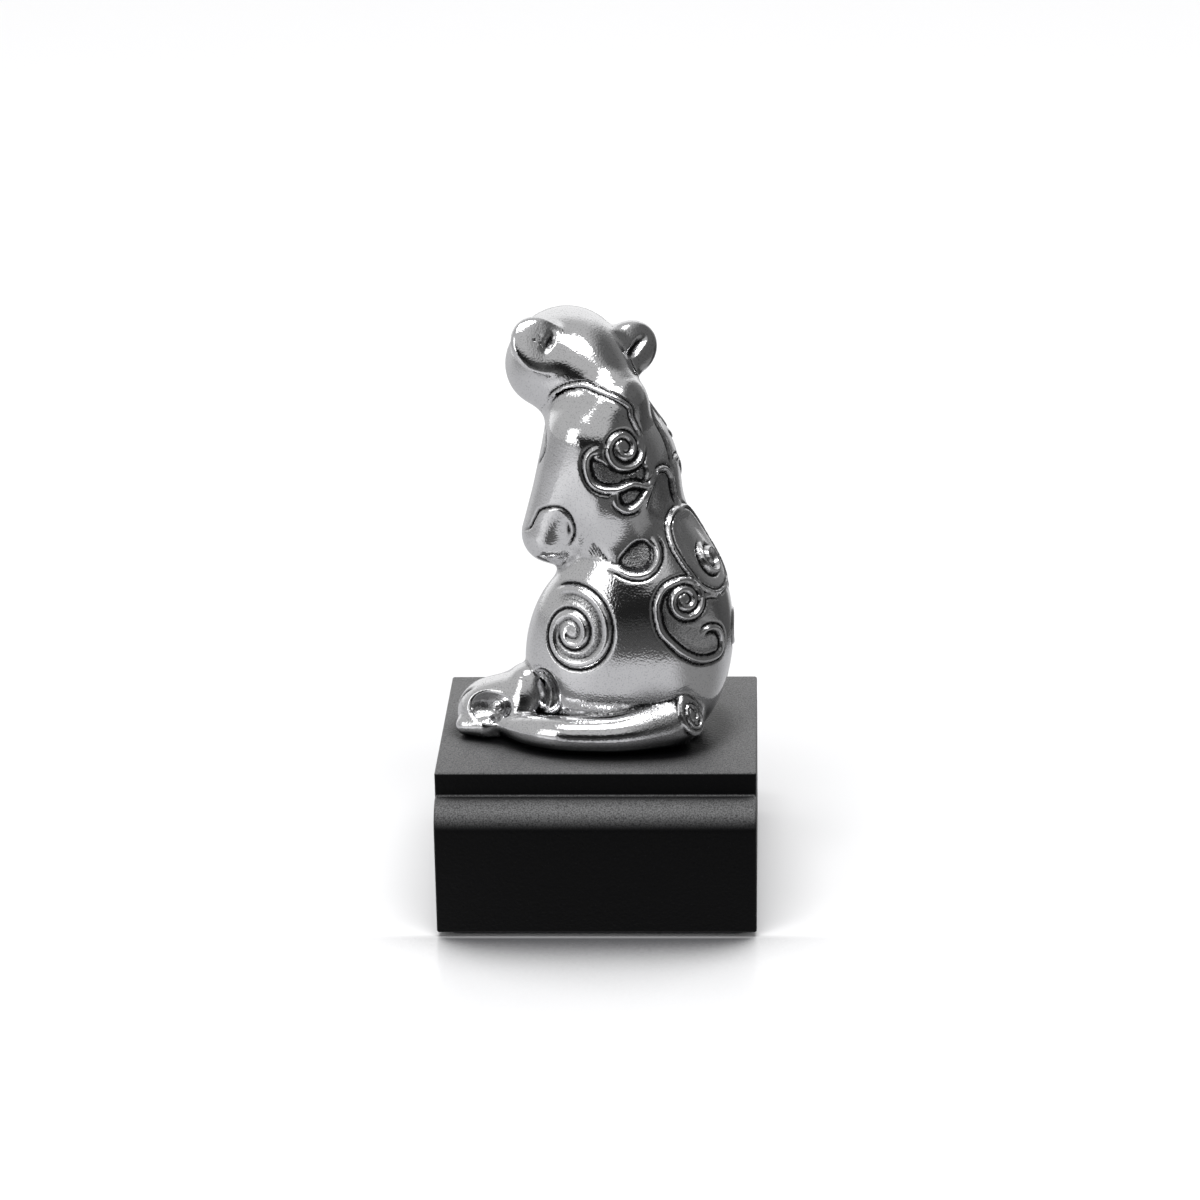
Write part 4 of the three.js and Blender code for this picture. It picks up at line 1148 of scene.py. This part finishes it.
def collect(lines, taper):
    """Least distance of every skin point to any of the lines, in each line's half widths, how strong
    the line is there, since it fades out at its ends, and which side of it the point is on."""
    least = np.full(len(skin), np.inf)
    strength = np.zeros(len(skin))
    flank = np.ones(len(skin))
    for line, half in lines:
        near = near_line(line, LINE_REACH)
        far, side, along, length = distance_to_line(skin[near], skin_normals[near], line)
        fade = ramp((along + END_ROUND) / taper) * ramp((length - along + END_ROUND) / taper)
        closer = far / half < least[near]
        least[near[closer]] = far[closer] / half
        strength[near[closer]] = fade[closer]
        flank[near[closer]] = side[closer]
    return least, strength, flank


def field_cover(outlines, edge, start=0.5):
    """1 inside any of the closed outlines and 0 outside, with a soft edge, and a band inside the edge."""
    cover = np.zeros(len(skin))
    band = np.zeros(len(skin))
    for outline in outlines:
        near = near_line(outline, max(FIELD_BAND, edge))
        far, side, _, _ = distance_to_line(skin[near], skin_normals[near], outline)
        cover[near] = np.maximum(cover[near], ramp(start + far * side / edge))
        band[near] = np.maximum(band[near], swell((far * side - FIELD_BAND / 3) / FIELD_BAND))
    return cover, band


ribs = []
for half, both_sides in (
    (THIN_RIB, (SHOULDER_STEM, VOLUTE_RIM)),
    (LEAF_RIB, (LEAF,)),
    (BROAD_RIB, (CRESCENT_RIM, EYE_RIM, TEAR_RIB, VOLUTE)),
):
    for places in both_sides:
        ribs += on_both_flanks(places, half)
for spiral in (SHOULDER_SPIRAL, VOLUTE_SPIRAL):
    ribs += [(spiral_on_skin(spiral), BROAD_RIB), (spiral_on_skin(spiral, flipped=True), BROAD_RIB)]
lobe_line = line_on_skin(LOBE, closed=True)
ribs += [(lobe_line, THIN_RIB), (line_on_skin(SPINE_RIDGE), THIN_RIB)]
ribs += [(spiral_on_skin(LOBE_SPIRAL), BROAD_RIB), (spiral_on_scroll(), SCROLL_RIB)]

haunch_ribs = [(spiral_on_skin(HAUNCH_SPIRAL), HAUNCH_RIB),
               (spiral_on_skin(HAUNCH_SPIRAL, flipped=True)[::-1], HAUNCH_RIB)]
ribs += haunch_ribs
grooves = []
for places in (ELBOW_ARC, ELBOW_INNER_ARC, CHEST_ARC):
    grooves += on_both_flanks(places, GROOVE_HALF)
for name in SIDES:
    for gap in (-1, 1):
        places = [spot_on_foot(name, reach, PAD["at"][1] + gap * spread, rise)
                  for reach, spread, rise in TOE_GROOVE]
        grooves.append((settled(smooth_path(places, PATH_STEPS), TOE_GROOVE_ROUNDS), TOE_GROOVE_HALF))
hairs = []
for (turn, root), length in zip(HAIR_ROOTS, HAIR_LENGTHS):
    places = ((turn, root), (turn - HAIR_LEAN / 2, root + length / 2), (turn - HAIR_LEAN, root + length))
    hairs += on_both_flanks(places, HAIR_HALF)
ear_creases = []
for name, side in SIDES.items():
    places = [spot_on_head(*on_side(place, side)) for place in EAR_CREASE[name]]
    ear_creases.append((settled(smooth_path(places, PATH_STEPS), LINE_ROUNDS), CREASE_HALF))

deep_fields = []
for places in (CRESCENT_FIELD, EYE_FIELD, TEAR_FIELD):
    deep_fields.append(line_on_skin(places, closed=True))
    deep_fields.append(line_on_skin(mirrored(places), closed=True))
shallow_fields = [line_on_skin(places, closed=True) for places in (LEAF_FIELD, VOLUTE_FIELD)]
shallow_fields += [line_on_skin(mirrored(VOLUTE_FIELD), closed=True)]

rib_far, rib_strength, _ = collect(ribs, TAPER)
haunch_far, haunch_strength, haunch_flank = collect(haunch_ribs, TAPER)
groove_far, groove_strength, _ = collect(grooves, TAPER)
hair_far, hair_strength, _ = collect(hairs, HAIR_TAPER)
crease_far, crease_strength, _ = collect(ear_creases, TAPER)
deep, deep_band = field_cover(deep_fields, FIELD_EDGE)
shallow, shallow_band = field_cover(shallow_fields, SHALLOW_FIELD_EDGE)
plate, _ = field_cover([lobe_line], PLATE_EDGE)
plate_dish, _ = field_cover([lobe_line], PLATE_DISH_EDGE, start=0)

rib = np.clip(1 - rib_far * rib_far, 0, 1) * rib_strength
rib_groove = swell((rib_far - RIB_GROOVE_OFFSET) / RIB_GROOVE_HALF) * rib_strength
inside_scroll = (haunch_far <= rib_far) & (haunch_flank < 0)
rib_groove = np.where(inside_scroll, HAUNCH_INNER_GROOVE * rib_groove, rib_groove)
groove = swell(groove_far) * groove_strength
hair = swell(hair_far) * hair_strength
crease = swell(crease_far) * crease_strength
bed = swell((haunch_far - BED_OFFSET) / BED_HALF) * haunch_strength
bed = bed * (haunch_flank < 0) * (1 - rib_groove)
relief = RIB_HEIGHT * rib - RIB_GROOVE_DEPTH * rib_groove - GROOVE_DEPTH * groove - CREASE_DEPTH * crease
relief += PLATE_RISE * plate - HAIR_DEPTH * hair - PLATE_DISH_DEPTH * plate_dish * (1 - rib)
relief -= (FIELD_DEPTH * deep + SHALLOW_FIELD_DEPTH * shallow) * (1 - rib)
skin = skin + relief[:, None] * skin_normals
skin_normals = point_normals(skin, quads)


def hollows(points, normals, rounds):
    """How deep each point lies below the smoothed skin round it."""
    neighbours = neighbours_of(quads)
    smooth = points
    for _ in range(rounds):
        smooth = (smooth + between_neighbours(smooth, *neighbours)) / 2
    return ((smooth - points) * normals).sum(1)


hollow = hollows(skin, skin_normals, HOLLOW_ROUNDS)
recess = ramp((hollow - HOLLOW_DEPTHS[0]) / (HOLLOW_DEPTHS[1] - HOLLOW_DEPTHS[0]))
# Painted shade round the pocket and the crook, added on top of the patina.
pocket = swell(ball(skin, spot_on_figure(*POCKET["at"]), 0) / POCKET_PAINTED_SHADE_REACH)
crook = swell(ball(skin, spot_on_figure(*CROOK_AT), 0) / CROOK_DARK_REACH) * (1 - rib)
off_rib = 1 - rib
patina_and_shade_masks = {
    "groove": groove, "rib_groove": rib_groove, "recess": recess, "pocket": pocket, "crease": crease,
    "hair": hair, "bed": bed, "deep": deep * off_rib, "deep_band": deep_band * off_rib,
    "shallow_band": shallow_band * off_rib, "crook": crook,
}
patina_and_shade = np.clip(sum(PATINA_AND_SHADE_IN[name] * mask for name, mask in patina_and_shade_masks.items()), 0, 1)
stipple = deep + STIPPLE_IN["shallow"] * shallow + bed
stipple += STIPPLE_IN["recess"] * recess + STIPPLE_IN["crook"] * crook
stipple = np.clip(stipple, 0, 1) * off_rib

# Pewter finish and the castings themselves: polished bright on the high places, with dark patina left
# in the recesses and fine pits in the sunk fields. Round the pocket by the left foot and the crook of the
# tail the colour is darkened further as painted shade. Each casting is cut from the skin along its solder.
PEWTER_COLOUR = (0.80, 0.80, 0.81, 1)
PATINA_AND_SHADE_COLOUR = (0.018, 0.018, 0.019, 1)
PEWTER_ROUGHNESS = (0.09, 0.45)
PIT_PITCH = 0.28 * MM
PIT_DETAIL = 2.0
PIT_DARKNESS = 0.7
PIT_DEPTH = 0.35
BRUSHING_PITCH = 0.30 * MM
BRUSHING_DETAIL = 0.5
BRUSHING_DEPTH = 0.24
FRECKLE_PITCH = 0.24 * MM
FRECKLE_DETAIL = 1.0
FRECKLE_RARITY = 6.0
FRECKLE_DARKNESS = 0.25
BARE_LEVEL = 0.6
GRAIN_STRENGTH = 1.0
GRAIN_DEPTH = 0.08 * MM

pewter, nodes, links, shader = new_material("antiqued_pewter")
tree = pewter.node_tree
patina_and_shade_mask = nodes.new("ShaderNodeAttribute")
patina_and_shade_mask.attribute_name = "patina_and_shade"
stipple_mask = nodes.new("ShaderNodeAttribute")
stipple_mask.attribute_name = "stipple"
pits = add_grain(tree, PIT_PITCH, PIT_DETAIL)
brushing = add_grain(tree, BRUSHING_PITCH, BRUSHING_DETAIL)
freckles = add_grain(tree, FRECKLE_PITCH, FRECKLE_DETAIL)


def math_node(tree, operation, first, second):
    """The clamped result of an operation on two values or masks."""
    node = tree.nodes.new("ShaderNodeMath")
    node.operation = operation
    node.use_clamp = True
    for socket, value in zip(node.inputs, (first, second)):
        if isinstance(value, (int, float)):
            socket.default_value = value
        else:
            tree.links.new(value, socket)
    return node.outputs[0]


pitted = math_node(tree, "MULTIPLY", stipple_mask.outputs["Fac"], pits.outputs["Specks"])
freckled = math_node(tree, "POWER", freckles.outputs["Specks"], FRECKLE_RARITY)
freckled = math_node(tree, "MULTIPLY", freckled, FRECKLE_DARKNESS)
# Patina with the painted shade at the pocket and the crook, and darkened pits.
dirt_and_shade = math_node(tree, "ADD", patina_and_shade_mask.outputs["Fac"], math_node(tree, "MULTIPLY", pitted, PIT_DARKNESS))
dark = math_node(tree, "ADD", dirt_and_shade, freckled)
links.new(mix_colours(tree, dark, PEWTER_COLOUR, PATINA_AND_SHADE_COLOUR), shader.inputs["Base Color"])
shader.inputs["Metallic"].default_value = 1.0
links.new(between(tree, dirt_and_shade, PEWTER_ROUGHNESS), shader.inputs["Roughness"])
sunk = math_node(tree, "SUBTRACT", BARE_LEVEL, math_node(tree, "MULTIPLY", pitted, PIT_DEPTH))
brushed = math_node(tree, "MULTIPLY", brushing.outputs["Height"], BRUSHING_DEPTH)
add_bump(tree, shader, math_node(tree, "ADD", brushed, sunk), GRAIN_STRENGTH, GRAIN_DEPTH)


def rims_of(shape):
    """The closed rims along which a casting was cut from its neighbours, each touching itself nowhere."""
    walked = set()
    rims = []
    for start in [edge.link_loops[0] for edge in shape.edges if edge.is_boundary]:
        rim = []
        corner = start
        while corner not in walked:
            walked.add(corner)
            if corner.vert in rim:
                first = rim.index(corner.vert)
                rims.append(rim[first:])
                del rim[first:]
            rim.append(corner.vert)
            corner = corner.link_loop_next
            while not corner.edge.is_boundary:
                corner = corner.link_loop_radial_next.link_loop_next
        rims.append(rim)
    return [rim for rim in rims if len(rim) > 2]


def close_holes(mesh):
    """Caps the rims, then fills what little is left open."""
    shape = bmesh.new()
    shape.from_mesh(mesh)
    caps = [shape.faces.new(reversed(rim)) for rim in rims_of(shape)]
    bmesh.ops.triangulate(shape, faces=caps)
    bmesh.ops.holes_fill(shape, edges=[edge for edge in shape.edges if edge.is_boundary], sides=0)
    shape.to_mesh(mesh)
    shape.free()


face_middles = skin[quads].mean(1)
owner = np.argmin(np.stack(piece_masses(face_middles)), 0)
for number, name in enumerate(PIECES):
    own = quads[owner == number]
    used, index = np.unique(own, return_inverse=True)
    mesh = bpy.data.meshes.new("pewter_" + name)
    mesh.from_pydata(skin[used] * MM, [], index.reshape(-1, 4).tolist())
    for attribute, values in (("patina_and_shade", patina_and_shade), ("stipple", stipple)):
        layer = mesh.attributes.new(attribute, "FLOAT", "POINT")
        layer.data.foreach_set("value", values[used].astype(np.float32))
    close_holes(mesh)
    mesh.shade_smooth()
    mesh.normals_split_custom_set_from_vertices(skin_normals[used])
    mesh.materials.append(pewter)
    casting = put("pewter_" + name, mesh)
    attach(casting, "root")
    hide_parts(name)
